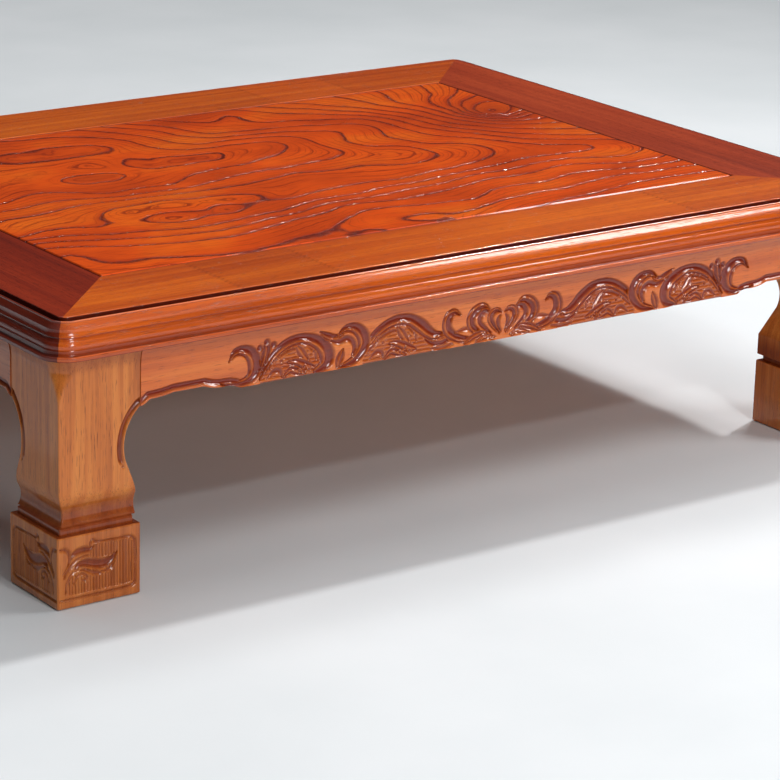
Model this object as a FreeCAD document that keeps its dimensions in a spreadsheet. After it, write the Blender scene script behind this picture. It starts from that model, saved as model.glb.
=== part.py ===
import FreeCAD, Part
import os
import re

import Sketcher

# A low floor table. A figured panel floats in a mitred frame, a stepped moulding runs round the frame,
# and four aprons with curved lower edges join four square legs under it.
# +Z is up, +X runs along the length, and the origin is on the floor under the middle of the top.

Vector = FreeCAD.Vector
Rotation = FreeCAD.Rotation
doc = FreeCAD.newDocument("low_table")

# Driving dimensions in millimetres: name, size, what it is.
SIZES = (
    ("top_length", 1200, "length over the edge mouldings"),
    ("top_width", 900, "width over the edge mouldings"),
    ("table_height", 320, "floor to table top"),
    ("overrun", 5, "how far a cutting shape reaches past the wood"),
    ("joint_clearance", 0.1, "play on each side of a glued or screwed joint"),

    ("rail_width", 118, "frame rail, from its outer arris to the panel"),
    ("rail_thickness", 43.5, "frame rail and moulding, top to bottom"),
    ("rail_arris", 1, "rounding of the frame's outer top arris"),
    ("corner_radius", 10, "rounding of the frame's corner, seen from above"),
    ("border_chamfer", 2.5, "chamfers that make the groove between panel and frame"),

    ("panel_thickness", 15, "panel"),
    ("panel_gap", 0.3, "gap between the panel's edge and the rails"),
    ("tongue_drop", 5, "panel face to the top of its tongue"),
    ("tongue_thickness", 6, "tongue round the panel"),
    ("tongue_length", 10, "tongue round the panel"),
    ("tongue_clearance", 0.2, "play above and below the tongue"),
    ("swelling_room", 2, "room for the panel to swell in the rails"),

    ("spline_length", 80, "loose tongue in a mitre, along the mitre"),
    ("spline_width", 36, "loose tongue, across the mitre"),
    ("spline_thickness", 8, "loose tongue"),
    ("spline_drop", 28, "table top to the middle of the loose tongue"),

    ("moulding_projection", 24, "how far the moulding stands out from the frame"),
    ("shadow_width", 6.5, "groove between frame and moulding, at the top"),
    ("shadow_depth", 8.5, "groove between frame and moulding"),
    ("lip_drop", 2.5, "table top to the moulding's lip"),
    ("lip_width", 1.2, "flat on the moulding's lip"),
    ("ovolo_out", 15.3, "quarter round, outermost"),
    ("ovolo_drop", 17.8, "table top to the quarter round's lower end"),
    ("ovolo_radius", 13.5, "quarter round"),
    ("quirk_out", 14.4, "fine step under the quarter round"),
    ("quirk_drop", 19.4, "table top to the fine step"),
    ("upper_bead_out", 16.1, "upper ridge"),
    ("upper_bead_drop", 22.9, "table top to the upper ridge"),
    ("hollow_radius", 8, "hollow between the two ridges"),
    ("lower_bead_out", 18, "lower ridge"),
    ("lower_bead_drop", 32, "table top to the lower ridge"),
    ("cove_out", 18.4, "inner end of the hollow over the bottom bead"),
    ("base_bead_height", 6.6, "bottom bead, from the moulding's underside"),
    ("base_bead_nose", 3.2, "outermost line of the bottom bead over the underside"),
    ("base_bead_return", 2.5, "how far the bottom bead turns back in at the underside"),

    ("batten_width", 50, "cross batten under the panel"),
    ("batten_height", 20, "cross batten"),
    ("batten_spacing", 300, "middle of one batten to the next"),
    ("batten_tenon_length", 12, "stub tenon of a batten"),
    ("batten_tenon_height", 10, "stub tenon of a batten"),
    ("batten_screw_spacing", 220, "screws along a batten"),

    ("foot_inset", 8, "outline of the top to the outer face of a foot"),
    ("foot_width", 103, "square foot block"),
    ("foot_height", 82, "floor to the top of the foot block"),
    ("foot_round", 3, "rounding of the foot's upright arrises"),
    ("ledge_depth", 6, "groove over the foot block"),
    ("outer_ledge_top", 89, "floor to the arris over the outer groove"),
    ("ankle_inset", 10, "lower end of the hollow waist"),
    ("ankle_height", 90.5, "lower end of the hollow waist, over the floor"),
    ("waist_radius", 21, "hollow waist"),
    ("swell_inset", 9.5, "where the waist turns into the swelling"),
    ("swell_height", 113, "where the waist turns into the swelling, over the floor"),
    ("bulge_height", 134, "upper end of the swelling, over the floor"),
    ("leg_inset", 5, "upright face of the leg, behind the foot's face"),
    ("leg_top_width", 105.5, "foot's outer face to the leg's inner face at the top"),
    ("inner_groove_top", 90, "floor to the upper edge of the inner groove"),
    ("band_inset", 0.5, "upright band over the inner groove, behind the foot's face"),
    ("band_top", 116, "floor to the top of the band"),
    ("neck_inset", 17, "deepest point of the neck, behind the foot's inner face"),
    ("neck_drop", 43.5, "leg's shoulder to the deepest point of the neck"),
    ("neck_tail", 19, "how far the neck's arc runs on below its deepest point"),
    ("shoulder_drop", 65, "underside of the top to the leg's shoulder"),

    ("cove_height", 20, "flared band at the top of legs and aprons"),
    ("cove_flare", 3.5, "how far the band flares out"),

    ("apron_inset", 4, "apron's face, behind the foot's outer face"),
    ("apron_thickness", 25, "apron"),
    ("apron_drop", 56, "underside of the top to the apron's plain lower edge"),
    ("carving_drop", 65, "underside of the top to the carved stretch's lower edge"),
    ("spandrel_run", 11, "tight curve beside the leg, along the apron"),
    ("spandrel_rise", 6, "tight curve beside the leg"),
    ("spandrel_radius", 20, "tight curve beside the leg"),
    ("easing_run", 30, "slow curve after the tight one"),
    ("easing_radius", 150, "slow curve after the tight one"),
    ("plain_run", 39, "straight lower edge before the ogee"),
    ("ogee_run", 47, "double curve down to the carved stretch"),
    ("tenon_length", 20, "apron tenon"),
    ("tenon_thickness", 10, "apron tenon"),
    ("tenon_height", 36, "apron tenon"),
    ("tenon_setback", 8, "apron's face to its tenon"),
    ("tenon_drop", 8, "underside of the top to the tenon"),

    ("block_thickness", 28, "diagonal corner block"),
    ("block_height", 40, "diagonal corner block"),
    ("corner_flat", 16, "flat cut on the leg's inner arris for the block"),
    ("hanger_radius", 4, "hanger bolt"),
    ("hanger_in_leg", 42, "hanger bolt's wood thread"),
    ("hanger_tail", 4, "hanger bolt's end beyond its nut"),
    ("washer_radius", 10, "hanger washer"),
    ("washer_thickness", 1.6, "hanger washer"),
    ("nut_across_flats", 13, "hanger nut"),
    ("nut_height", 6.5, "hanger nut"),

    ("screw_radius", 2.2, "wood screw shank"),
    ("screw_head_radius", 4.2, "countersunk head"),
    ("screw_head_height", 2.4, "countersunk head"),
    ("screw_point", 4, "tapered end of a screw"),
    ("block_screw_in_block", 14, "corner block's side screw, length in the block"),
    ("block_screw_in_apron", 15, "corner block's side screw, length in the apron"),
    ("block_screw_spread", 20, "corner block's side screws, one over the other"),
    ("top_screw_in_rail", 20, "corner block's upward screw, length in the rail"),
    ("top_screw_spread", 90, "corner block's two upward screws"),
    ("button_screw_in_rail", 16, "button's screw, length in the rail"),
    ("batten_screw_in_panel", 9, "batten's screw, length in the panel"),

    ("button_length", 40, "wooden button, along the apron"),
    ("button_width", 30, "wooden button, from the apron inwards"),
    ("button_height", 18, "wooden button"),
    ("button_tongue_length", 8, "tongue of a button, in the apron"),
    ("button_tongue_height", 8, "tongue of a button"),
    ("long_button_spacing", 260, "buttons along a long apron"),
    ("short_button_spacing", 180, "buttons along a short apron"),

    ("pad_size", 80, "square felt pad under a foot"),
    ("pad_thickness", 2, "felt pad"),
    ("pad_recess", 1, "how deep the pad sits in the sole"),
)

# Places worked out from the sizes: name, formula.
PLACES = (
    ("half_length", "top_length / 2"),
    ("half_width", "top_width / 2"),
    ("frame_x", "half_length - moulding_projection"),
    ("frame_y", "half_width - moulding_projection"),
    ("sight_x", "frame_x - rail_width"),
    ("sight_y", "frame_y - rail_width"),
    ("underside", "table_height - rail_thickness"),
    ("panel_underside", "table_height - panel_thickness"),
    ("corner_cut", "corner_radius * (1 - 1 / sqrt(2))"),
    ("groove_top", "table_height - tongue_drop + tongue_clearance"),
    ("groove_bottom", "table_height - tongue_drop - tongue_thickness - tongue_clearance"),
    ("groove_depth", "tongue_length + swelling_room"),
    ("batten_tenon_top", "panel_underside - (batten_height - batten_tenon_height) / 2"),
    ("foot_x", "half_length - foot_inset"),
    ("foot_y", "half_width - foot_inset"),
    ("leg_inner_x", "foot_x - leg_top_width"),
    ("leg_inner_y", "foot_y - leg_top_width"),
    ("sole", "pad_thickness - pad_recess"),
    ("shoulder", "underside - shoulder_drop"),
    ("swell_width", "swell_inset - leg_inset"),
    ("bulge_radius", "(swell_width ^ 2 + (bulge_height - swell_height) ^ 2) / (2 * swell_width)"),
    ("neck_height", "shoulder - neck_drop"),
    ("neck_place", "foot_width - neck_inset"),
    ("neck_depth", "leg_top_width - neck_place"),
    ("neck_radius", "(neck_drop ^ 2 + neck_depth ^ 2) / (2 * neck_depth)"),
    ("neck_tail_place", "neck_place + neck_radius - sqrt(neck_radius ^ 2 - neck_tail ^ 2)"),
    ("flare_bottom", "underside - cove_height"),
    ("flare_radius", "(cove_flare ^ 2 + cove_height ^ 2) / (2 * cove_flare)"),
    ("apron_x", "foot_x - apron_inset"),
    ("apron_y", "foot_y - apron_inset"),
    ("apron_back_x", "apron_x - apron_thickness"),
    ("apron_back_y", "apron_y - apron_thickness"),
    ("plain_edge", "underside - apron_drop"),
    ("carved_edge", "underside - carving_drop"),
    ("ogee_fall", "plain_edge - carved_edge"),
    ("ogee_radius", "((ogee_run / 2) ^ 2 + (ogee_fall / 2) ^ 2) / ogee_fall"),
    ("tenon_top", "underside - tenon_drop"),
    ("block_line", "leg_inner_x + leg_inner_y + corner_flat"),
    ("block_slant", "block_thickness * sqrt(2)"),
    ("hanger_height", "underside - block_height / 2"),
    ("hanger_seat", "corner_flat / 2"),
    ("hanger_length", "block_thickness + washer_thickness + nut_height + hanger_tail"),
)

SHEET_OF = {name: "Sizes." for name, size, note in SIZES}
SHEET_OF.update({name: "Places." for name, formula in PLACES})


def expression(text):
    """Put its sheet's name before each size and place that the text names."""
    return re.sub(r"[a-z_]+", lambda word: SHEET_OF.get(word.group(), "") + word.group(), text)


def number(text):
    return float(sizes_sheet.evalExpression(expression(text)))


def make_sheets():
    sizes = doc.addObject("Spreadsheet::Sheet", "Sizes")
    for row, (name, size, note) in enumerate(SIZES, start=1):
        sizes.set(f"A{row}", name)
        sizes.set(f"B{row}", str(size))
        sizes.set(f"C{row}", note)
        sizes.setAlias(f"B{row}", name)
    places = doc.addObject("Spreadsheet::Sheet", "Places")
    for row, (name, formula) in enumerate(PLACES, start=1):
        places.set(f"A{row}", name)
        places.set(f"B{row}", "=" + expression(formula))
        places.setAlias(f"B{row}", name)
    doc.recompute()
    return sizes


# Sketches. START, END and MIDDLE are the numbers by which a constraint names a point of a curve,
# and AXES with START is the origin.

START, END, MIDDLE = range(1, 4)
AXES = -1


def origin_plane(body, role):
    for feature in body.Origin.OriginFeatures:
        if feature.Role == role:
            return feature
    raise ValueError(role)


def sketch_on(body, name, role, offset="0"):
    """A sketch on one of the body's origin planes, moved along the plane's normal by offset."""
    sketch = body.newObject("Sketcher::SketchObject", name)
    sketch.AttachmentSupport = [(origin_plane(body, role), "")]
    sketch.MapMode = "FlatFace"
    sketch.setExpression("AttachmentOffset.Base.z", expression(offset))
    return sketch


def bind(sketch, constraint, text):
    index = sketch.addConstraint(constraint)
    sketch.setExpression(f"Constraints[{index}]", expression(text))


def add_arc(sketch, start, end, bend):
    """Add an arc that bulges to the left of the way from start to end, or to the right if bend is < 0."""
    radius = abs(bend)
    along = end - start
    half_chord = along.Length / 2
    left = Vector(-along.y, along.x, 0).normalize()
    to_centre = (radius ** 2 - half_chord ** 2) ** 0.5
    centre = (start + end) / 2 - left * (to_centre if bend > 0 else -to_centre)
    first, last = (end, start) if bend > 0 else (start, end)
    circle = Part.Circle(centre, Vector(0, 0, 1), radius)
    arc = Part.ArcOfCircle(circle, circle.parameter(first), circle.parameter(last))
    geometry = sketch.addGeometry(arc, False)
    ends = (END, START) if bend > 0 else (START, END)
    return geometry, ends


def outline(sketch, corners, bends=None):
    """Draw a closed outline through corners, each a pair of size expressions.

    bends gives the radius of the arc that replaces the side from a corner to the next: positive
    where it bulges to the left of the walk round the outline, negative where to the right.
    """
    bends = bends or {}
    spots = [Vector(number(across), number(up), 0) for across, up in corners]
    sides = []
    for index, start in enumerate(spots):
        end = spots[(index + 1) % len(spots)]
        if index in bends:
            sides.append(add_arc(sketch, start, end, number(bends[index])))
        else:
            sides.append((sketch.addGeometry(Part.LineSegment(start, end), False), (START, END)))
    for index, (geometry, ends) in enumerate(sides):
        following, following_ends = sides[(index + 1) % len(sides)]
        sketch.addConstraint(
            Sketcher.Constraint("Coincident", geometry, ends[1], following, following_ends[0]))
    for index, (geometry, ends) in enumerate(sides):
        across, up = corners[index]
        spot = spots[index]
        bind(sketch, Sketcher.Constraint("DistanceX", AXES, START, geometry, ends[0], spot.x), across)
        bind(sketch, Sketcher.Constraint("DistanceY", AXES, START, geometry, ends[0], spot.y), up)
        if index in bends:
            radius = bends[index].lstrip("-")
            bind(sketch, Sketcher.Constraint("Radius", geometry, number(radius)), radius)


def rectangle(sketch, low_across, high_across, low_up, high_up):
    outline(sketch, ((low_across, low_up), (high_across, low_up),
                     (high_across, high_up), (low_across, high_up)))


def circle(sketch, radius):
    geometry = sketch.addGeometry(Part.Circle(Vector(), Vector(0, 0, 1), number(radius)), False)
    sketch.addConstraint(Sketcher.Constraint("Coincident", geometry, MIDDLE, AXES, START))
    bind(sketch, Sketcher.Constraint("Radius", geometry, number(radius)), radius)


# Solid features

def new_body(name):
    return doc.addObject("PartDesign::Body", name)


def pad(body, sketch, length, symmetric=False, reverse=False):
    feature = body.newObject("PartDesign::Pad", sketch.Name + "_pad")
    feature.Profile = sketch
    feature.SideType = "Symmetric" if symmetric else "One side"
    feature.Reversed = reverse
    feature.setExpression("Length", expression(length))
    doc.recompute()
    return feature


def pocket(body, sketch, length, symmetric=False):
    """Cut the sketch into the body, against the sketch's normal, and make sure that wood goes."""
    before = body.Shape.Volume
    feature = body.newObject("PartDesign::Pocket", sketch.Name + "_pocket")
    feature.Profile = sketch
    feature.SideType = "Symmetric" if symmetric else "One side"
    feature.setExpression("Length", expression(length))
    doc.recompute()
    if body.Shape.Volume >= before:
        raise ValueError(f"{feature.Name} cuts nothing")
    return feature


def mirror_feature(body, feature, role):
    mirrored = body.newObject("PartDesign::Mirrored", feature.Name + "_mirrored")
    mirrored.Originals = [feature]
    mirrored.MirrorPlane = (origin_plane(body, role), [""])
    body.Tip = mirrored
    doc.recompute()
    return mirrored


def same_height(one, other):
    return abs(one - other) < 1e-6


def edges_where(shape, test):
    return [f"Edge{index}" for index, edge in enumerate(shape.Edges, start=1) if test(edge)]


def dress(body, kind, size_property, size, edge_names):
    """Fillet or chamfer the named edges of the body's last feature."""
    feature = body.newObject(f"PartDesign::{kind}", f"{body.Name}_{kind.lower()}")
    feature.Base = (feature.BaseFeature, edge_names)
    feature.setExpression(size_property, expression(size))
    doc.recompute()
    return feature


def mirror(source, label, normal):
    copy = doc.addObject("Part::Mirroring", label)
    copy.Label = label
    copy.Source = source
    copy.Normal = normal
    return copy


def place(original, spots, name):
    """A group of copies of the original. A spot is three size expressions and a rotation."""
    copies = []
    for index, (across, along, up, rotation) in enumerate(spots):
        copy = doc.addObject("App::Link", f"{name}_{index}")
        copy.LinkedObject = original
        copy.LinkPlacement = FreeCAD.Placement(Vector(), rotation)
        for axis, text in zip("xyz", (across, along, up)):
            copy.setExpression(f"LinkPlacement.Base.{axis}", expression(text))
        copies.append(copy)
    group = doc.addObject("Part::Compound", name)
    group.Label = name
    group.Links = copies
    return group


def cut(label, blank, *voids):
    """Take voids out of a blank, one after another, and label what is left."""
    for index, void in enumerate(voids):
        result = doc.addObject("Part::Cut", f"{label}_cut_{index}")
        result.Base = blank
        result.Tool = void
        blank = result
    blank.Label = label
    return blank


# The four corners as signs of X and Y, and the directions that mirrors and screws use.
CORNERS = {
    "front_left": (-1, -1),
    "front_right": (1, -1),
    "back_left": (-1, 1),
    "back_right": (1, 1),
}
ACROSS = Vector(1, 0, 0)
ALONG = Vector(0, 1, 0)
HEAD_DOWN = Rotation(Vector(1, 0, 0), 180)


def signed(sign, text):
    return f"{sign} * ({text})"


# Top: panel, frame, loose tongues and battens

def make_panel():
    body = new_body("panel_blank")
    board = sketch_on(body, "panel_board", "XY_Plane", "table_height")
    reach_x = "sight_x - panel_gap"
    reach_y = "sight_y - panel_gap"
    rectangle(board, f"-({reach_x})", reach_x, f"-({reach_y})", reach_y)
    pad(body, board, "panel_thickness", reverse=True)
    tongue = sketch_on(body, "panel_tongue", "XY_Plane", "table_height - tongue_drop")
    reach_x = "sight_x + tongue_length"
    reach_y = "sight_y + tongue_length"
    rectangle(tongue, f"-({reach_x})", reach_x, f"-({reach_y})", reach_y)
    pad(body, tongue, "tongue_thickness", reverse=True)
    top = number("table_height")
    border = edges_where(body.Shape, lambda edge: same_height(edge.BoundBox.ZMin, top))
    dress(body, "Chamfer", "Size", "border_chamfer", border)
    return body


def rail_section(outer, sight):
    """Section of a frame rail whose outer arris lies at -outer and inner edge at -sight."""
    corners = (
        (f"-{outer}", "underside"),
        (f"-{outer}", "table_height"),
        (f"-{sight} - border_chamfer", "table_height"),
        (f"-{sight}", "table_height - border_chamfer"),
        (f"-{sight}", "groove_top"),
        (f"-{sight} - groove_depth", "groove_top"),
        (f"-{sight} - groove_depth", "groove_bottom"),
        (f"-{sight}", "groove_bottom"),
        (f"-{sight}", "underside"),
    )
    return corners


def mitre_cut(end, outer, sight_end, sight):
    """Plan of the wood outside a rail's mitre and round corner, as (along, across) pairs."""
    corners = (
        (f"{end} - corner_radius", f"-{outer}"),
        (f"{end} - corner_cut", f"-{outer} + corner_cut"),
        (f"{sight_end} - overrun", f"-{sight} + overrun"),
        (f"{end} + overrun", f"-{sight} + overrun"),
        (f"{end} + overrun", f"-{outer} - overrun"),
        (f"{end} - corner_radius", f"-{outer} - overrun"),
    )
    return corners


def make_rail(name, section_role, mirror_role, end, outer, sight_end, sight, swap):
    """A mitred rail. swap turns the plan's (along, across) into (y, x), for a rail that runs along Y."""
    body = new_body(name)
    section = sketch_on(body, name + "_section", section_role)
    outline(section, rail_section(outer, sight))
    pad(body, section, f"2 * {end}", symmetric=True)
    mitre = sketch_on(body, name + "_mitre", "XY_Plane", "table_height + overrun")
    plan = mitre_cut(end, outer, sight_end, sight)
    if swap:
        outline(mitre, [(across, along) for along, across in plan], {0: "corner_radius"})
    else:
        outline(mitre, plan, {0: "-corner_radius"})
    ended = pocket(body, mitre, "rail_thickness + 2 * overrun")
    mirror_feature(body, ended, mirror_role)
    top = number("table_height")
    near_arris = number(f"{outer} - corner_radius")

    def is_outer_arris(edge):
        box = edge.BoundBox
        outermost = -box.XMax if swap else -box.YMax
        level = same_height(box.ZMin, top) and same_height(box.ZMax, top)
        return level and outermost > near_arris

    dress(body, "Fillet", "Radius", "rail_arris", edges_where(body.Shape, is_outer_arris))
    return body


def cut_batten_mortises(rail):
    mortises = sketch_on(rail, "batten_mortises", "XY_Plane", "batten_tenon_top + joint_clearance")
    for step in (-1, 0, 1):
        middle = f"{step} * batten_spacing"
        rectangle(mortises, f"{middle} - batten_width / 2 - joint_clearance",
                  f"{middle} + batten_width / 2 + joint_clearance",
                  "-sight_y - batten_tenon_length - joint_clearance", "-sight_y + overrun")
    pocket(rail, mortises, "batten_tenon_height + 2 * joint_clearance")


def make_spline(name, play):
    body = new_body(name)
    plan = sketch_on(body, name + "_plan", "XY_Plane")
    reach_x = f"spline_length / 2 + {play}"
    reach_y = f"spline_width / 2 + {play}"
    rectangle(plan, f"-({reach_x})", reach_x, f"-({reach_y})", reach_y)
    pad(body, plan, f"spline_thickness + 2 * {play}", symmetric=True)
    return body


def mitre_spots():
    spots = []
    for sign_x, sign_y in CORNERS.values():
        turn = Rotation(Vector(0, 0, 1), 45 * sign_x * sign_y)
        spots.append((signed(sign_x, "frame_x - rail_width / 2"), signed(sign_y, "frame_y - rail_width / 2"),
                      "table_height - spline_drop", turn))
    return spots


def make_batten(name, step):
    body = new_body(name)
    middle = f"{step} * batten_spacing"
    low = f"{middle} - batten_width / 2"
    high = f"{middle} + batten_width / 2"
    bar = sketch_on(body, name + "_bar", "XY_Plane", "panel_underside")
    rectangle(bar, low, high, "-sight_y", "sight_y")
    pad(body, bar, "batten_height", reverse=True)
    tenons = sketch_on(body, name + "_tenons", "XY_Plane", "batten_tenon_top")
    rectangle(tenons, low, high, "-sight_y - batten_tenon_length", "sight_y + batten_tenon_length")
    pad(body, tenons, "batten_tenon_height", reverse=True)
    return body


# Edge moulding

def moulding_section(frame):
    """Section of the moulding outside a frame edge at -frame, as corners and bends."""
    points = (
        ("0", "rail_thickness"),
        ("0", "shadow_depth"),
        ("shadow_width", "shadow_depth"),
        ("shadow_width", "lip_drop"),
        ("shadow_width + lip_width", "lip_drop"),
        ("ovolo_out", "ovolo_drop"),
        ("quirk_out", "quirk_drop"),
        ("upper_bead_out", "upper_bead_drop"),
        ("lower_bead_out", "lower_bead_drop"),
        ("cove_out", "rail_thickness - base_bead_height"),
        ("moulding_projection", "rail_thickness - base_bead_nose"),
        ("moulding_projection - base_bead_return", "rail_thickness"),
    )
    corners = [(f"-{frame} - ({out})", f"table_height - ({drop})") for out, drop in points]
    bends = {4: "-ovolo_radius", 7: "hollow_radius"}
    return corners, bends


def make_moulding(name, role, frame, end, end_offset, mirror_role, reverse):
    """A moulding strip: a straight run, and an eighth of a turn round each corner of the frame."""
    body = new_body(name)
    straight = sketch_on(body, name + "_section", role)
    corners, bends = moulding_section(frame)
    outline(straight, corners, bends)
    pad(body, straight, f"2 * ({end} - corner_radius)", symmetric=True)
    turning = sketch_on(body, name + "_end_section", role, end_offset)
    outline(turning, corners, bends)
    pivot = number(f"corner_radius - {frame}")
    axis = Part.LineSegment(Vector(pivot, 0, 0), Vector(pivot, number("table_height"), 0))
    line = turning.addGeometry(axis, True)
    for end_of_line, height in ((START, "0"), (END, "table_height")):
        for kind, text in (("DistanceX", f"corner_radius - {frame}"), ("DistanceY", height)):
            bind(turning, Sketcher.Constraint(kind, AXES, START, line, end_of_line, number(text)), text)
    turn = body.newObject("PartDesign::Revolution", name + "_turn")
    turn.Profile = turning
    turn.ReferenceAxis = (turning, ["Axis0"])
    turn.Angle = 45
    turn.Reversed = reverse
    doc.recompute()
    mirror_feature(body, turn, mirror_role)
    return body


# Aprons

def apron_outline(inner):
    """Front view of an apron that ends at -inner and inner, with its curved lower edge."""
    half = (
        (inner, "shoulder"),
        (f"{inner} - spandrel_run", "shoulder + spandrel_rise"),
        (f"{inner} - spandrel_run - easing_run", "plain_edge"),
        (f"{inner} - spandrel_run - easing_run - plain_run", "plain_edge"),
        (f"{inner} - spandrel_run - easing_run - plain_run - ogee_run / 2", "(plain_edge + carved_edge) / 2"),
        (f"{inner} - spandrel_run - easing_run - plain_run - ogee_run", "carved_edge"),
    )
    corners = [(f"-{inner}", "underside"), (inner, "underside")]
    corners += half
    corners += [(f"-({across})", up) for across, up in reversed(half)]
    bends = {2: "-spandrel_radius", 3: "-easing_radius", 5: "-ogee_radius", 6: "ogee_radius",
             8: "ogee_radius", 9: "-ogee_radius", 11: "-easing_radius", 12: "-spandrel_radius"}
    return corners, bends


def make_apron(name, face_role, face_offset, section_role, face, inner, inward, reverse):
    """An apron between two legs. inward is +1 where the face plane's normal points into the table."""
    body = new_body(name)
    board = sketch_on(body, name + "_board", face_role, face_offset)
    corners, bends = apron_outline(inner)
    outline(board, corners, bends)
    pad(body, board, "apron_thickness", reverse=reverse)
    flare = sketch_on(body, name + "_flare", section_role)
    outline(flare, ((f"-{face}", "flare_bottom"), (f"-{face} - cove_flare", "underside"),
                    (f"-{face} + cove_flare", "underside"), (f"-{face} + cove_flare", "flare_bottom")),
            {0: "-flare_radius"})
    pad(body, flare, f"2 * {inner}", symmetric=True)
    tenons = sketch_on(body, name + "_tenons", face_role, f"{face_offset} + {inward} * tenon_setback")
    rectangle(tenons, f"-{inner} - tenon_length", f"{inner} + tenon_length",
              "tenon_top - tenon_height", "tenon_top")
    pad(body, tenons, "tenon_thickness", reverse=reverse)
    return body


# Legs

def leg_outline(foot):
    """Side view of the leg that stands at -foot, as corners and bends, up the outside and down the inside."""
    points = (
        ("0", "sole"),
        ("0", "foot_height"),
        ("ledge_depth", "foot_height"),
        ("ledge_depth", "outer_ledge_top"),
        ("ankle_inset", "ankle_height"),
        ("swell_inset", "swell_height"),
        ("leg_inset", "bulge_height"),
        ("leg_inset", "flare_bottom"),
        ("leg_inset - cove_flare", "underside"),
        ("leg_top_width", "underside"),
        ("leg_top_width", "shoulder"),
        ("neck_tail_place", "neck_height - neck_tail"),
        ("foot_width - band_inset", "band_top"),
        ("foot_width - band_inset", "inner_groove_top"),
        ("foot_width - ledge_depth", "inner_groove_top"),
        ("foot_width - ledge_depth", "foot_height"),
        ("foot_width", "foot_height"),
        ("foot_width", "sole"),
    )
    corners = [(f"-{foot} + ({inset})", up) for inset, up in points]
    bends = {4: "-waist_radius", 5: "bulge_radius", 7: "-flare_radius", 10: "-neck_radius"}
    return corners, bends


def make_leg(name):
    """The front left leg: its front view, cut to the same view from the side."""
    body = new_body(name)
    front = sketch_on(body, name + "_front", "XZ_Plane")
    outline(front, *leg_outline("foot_x"))
    pad(body, front, "2 * foot_y", symmetric=True)
    side = sketch_on(body, name + "_side", "YZ_Plane")
    outline(side, *leg_outline("foot_y"))
    rectangle(side, "-foot_y - overrun", "foot_y + overrun", "-overrun", "underside + overrun")
    pocket(body, side, "2 * (foot_x + overrun)", symmetric=True)
    foot_top = number("foot_height")
    upright = edges_where(body.Shape, lambda edge: same_height(edge.BoundBox.ZMax, foot_top)
                          and edge.BoundBox.ZLength > foot_top / 2)
    dress(body, "Fillet", "Radius", "foot_round", upright)

    mortises = sketch_on(body, name + "_mortises", "XY_Plane", "tenon_top + joint_clearance")
    depth = "tenon_length + joint_clearance"
    near = "tenon_setback - joint_clearance"
    far = "tenon_setback + tenon_thickness + joint_clearance"
    rectangle(mortises, f"-leg_inner_x - ({depth})", "-leg_inner_x + overrun",
              f"-apron_y + {near}", f"-apron_y + {far}")
    rectangle(mortises, f"-apron_x + {near}", f"-apron_x + {far}",
              f"-leg_inner_y - ({depth})", "-leg_inner_y + overrun")
    pocket(body, mortises, "tenon_height + 2 * joint_clearance")

    flat = sketch_on(body, name + "_corner_flat", "XY_Plane", "underside")
    outline(flat, (("-leg_inner_x - corner_flat - overrun", "-leg_inner_y + overrun"),
                   ("-leg_inner_x + overrun", "-leg_inner_y - corner_flat - overrun"),
                   ("-leg_inner_x + overrun", "-leg_inner_y + overrun")))
    pocket(body, flat, "block_height + joint_clearance")

    recess = sketch_on(body, name + "_pad_recess", "XY_Plane", "pad_thickness")
    rectangle(recess, *pad_reach("foot_x", "joint_clearance"), *pad_reach("foot_y", "joint_clearance"))
    pocket(body, recess, "pad_recess + overrun")
    return body


def pad_reach(foot, play):
    middle = f"-{foot} + foot_width / 2"
    return f"{middle} - pad_size / 2 - {play}", f"{middle} + pad_size / 2 + {play}"


def make_foot_pad(name):
    body = new_body(name)
    plan = sketch_on(body, name + "_plan", "XY_Plane")
    rectangle(plan, *pad_reach("foot_x", "0"), *pad_reach("foot_y", "0"))
    pad(body, plan, "pad_thickness")
    return body


# Corner blocks, buttons and fasteners

def make_corner_block(name):
    """The front left block, across the leg's inner arris from the front apron to the left one."""
    body = new_body(name)
    plan = sketch_on(body, name + "_plan", "XY_Plane", "underside")
    outline(plan, (("-block_line + apron_back_y", "-apron_back_y"),
                   ("-block_line + block_slant + apron_back_y", "-apron_back_y"),
                   ("-apron_back_x", "-block_line + block_slant + apron_back_x"),
                   ("-apron_back_x", "-block_line + apron_back_x")))
    pad(body, plan, "block_height", reverse=True)
    return body


def turned(name, points):
    """A body turned about Z from half sections given as (radius, height) pairs."""
    body = new_body(name)
    section = sketch_on(body, name + "_section", "XZ_Plane")
    outline(section, points)
    spin = body.newObject("PartDesign::Revolution", name + "_turn")
    spin.Profile = section
    spin.ReferenceAxis = (section, ["V_Axis"])
    spin.Angle = 360
    doc.recompute()
    return body


def make_screw(name, length):
    """A countersunk screw that points down from its head at height 0."""
    return turned(name, (
        ("0", "0"),
        ("screw_head_radius", "0"),
        ("screw_radius", "-screw_head_height"),
        ("screw_radius", f"-({length}) + screw_point"),
        ("0", f"-({length})"),
    ))


def make_screw_hole(name, length, counterbore="overrun"):
    """The hole that takes such a screw, open above its head."""
    return turned(name, (
        ("0", counterbore),
        ("screw_head_radius + joint_clearance", counterbore),
        ("screw_head_radius + joint_clearance", "-joint_clearance"),
        ("screw_radius + joint_clearance", "-screw_head_height - joint_clearance"),
        ("screw_radius + joint_clearance", f"-({length}) + screw_point"),
        ("0", f"-({length}) - joint_clearance"),
    ))


def make_hanger_bolt(name, play="0"):
    """A hanger bolt along Z. Height 0 is where the leg's flat meets the corner block."""
    return turned(name, (
        ("0", "-hanger_in_leg"),
        (f"hanger_radius + {play}", "-hanger_in_leg + screw_point"),
        (f"hanger_radius + {play}", "hanger_length"),
        ("0", "hanger_length"),
    ))


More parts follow.
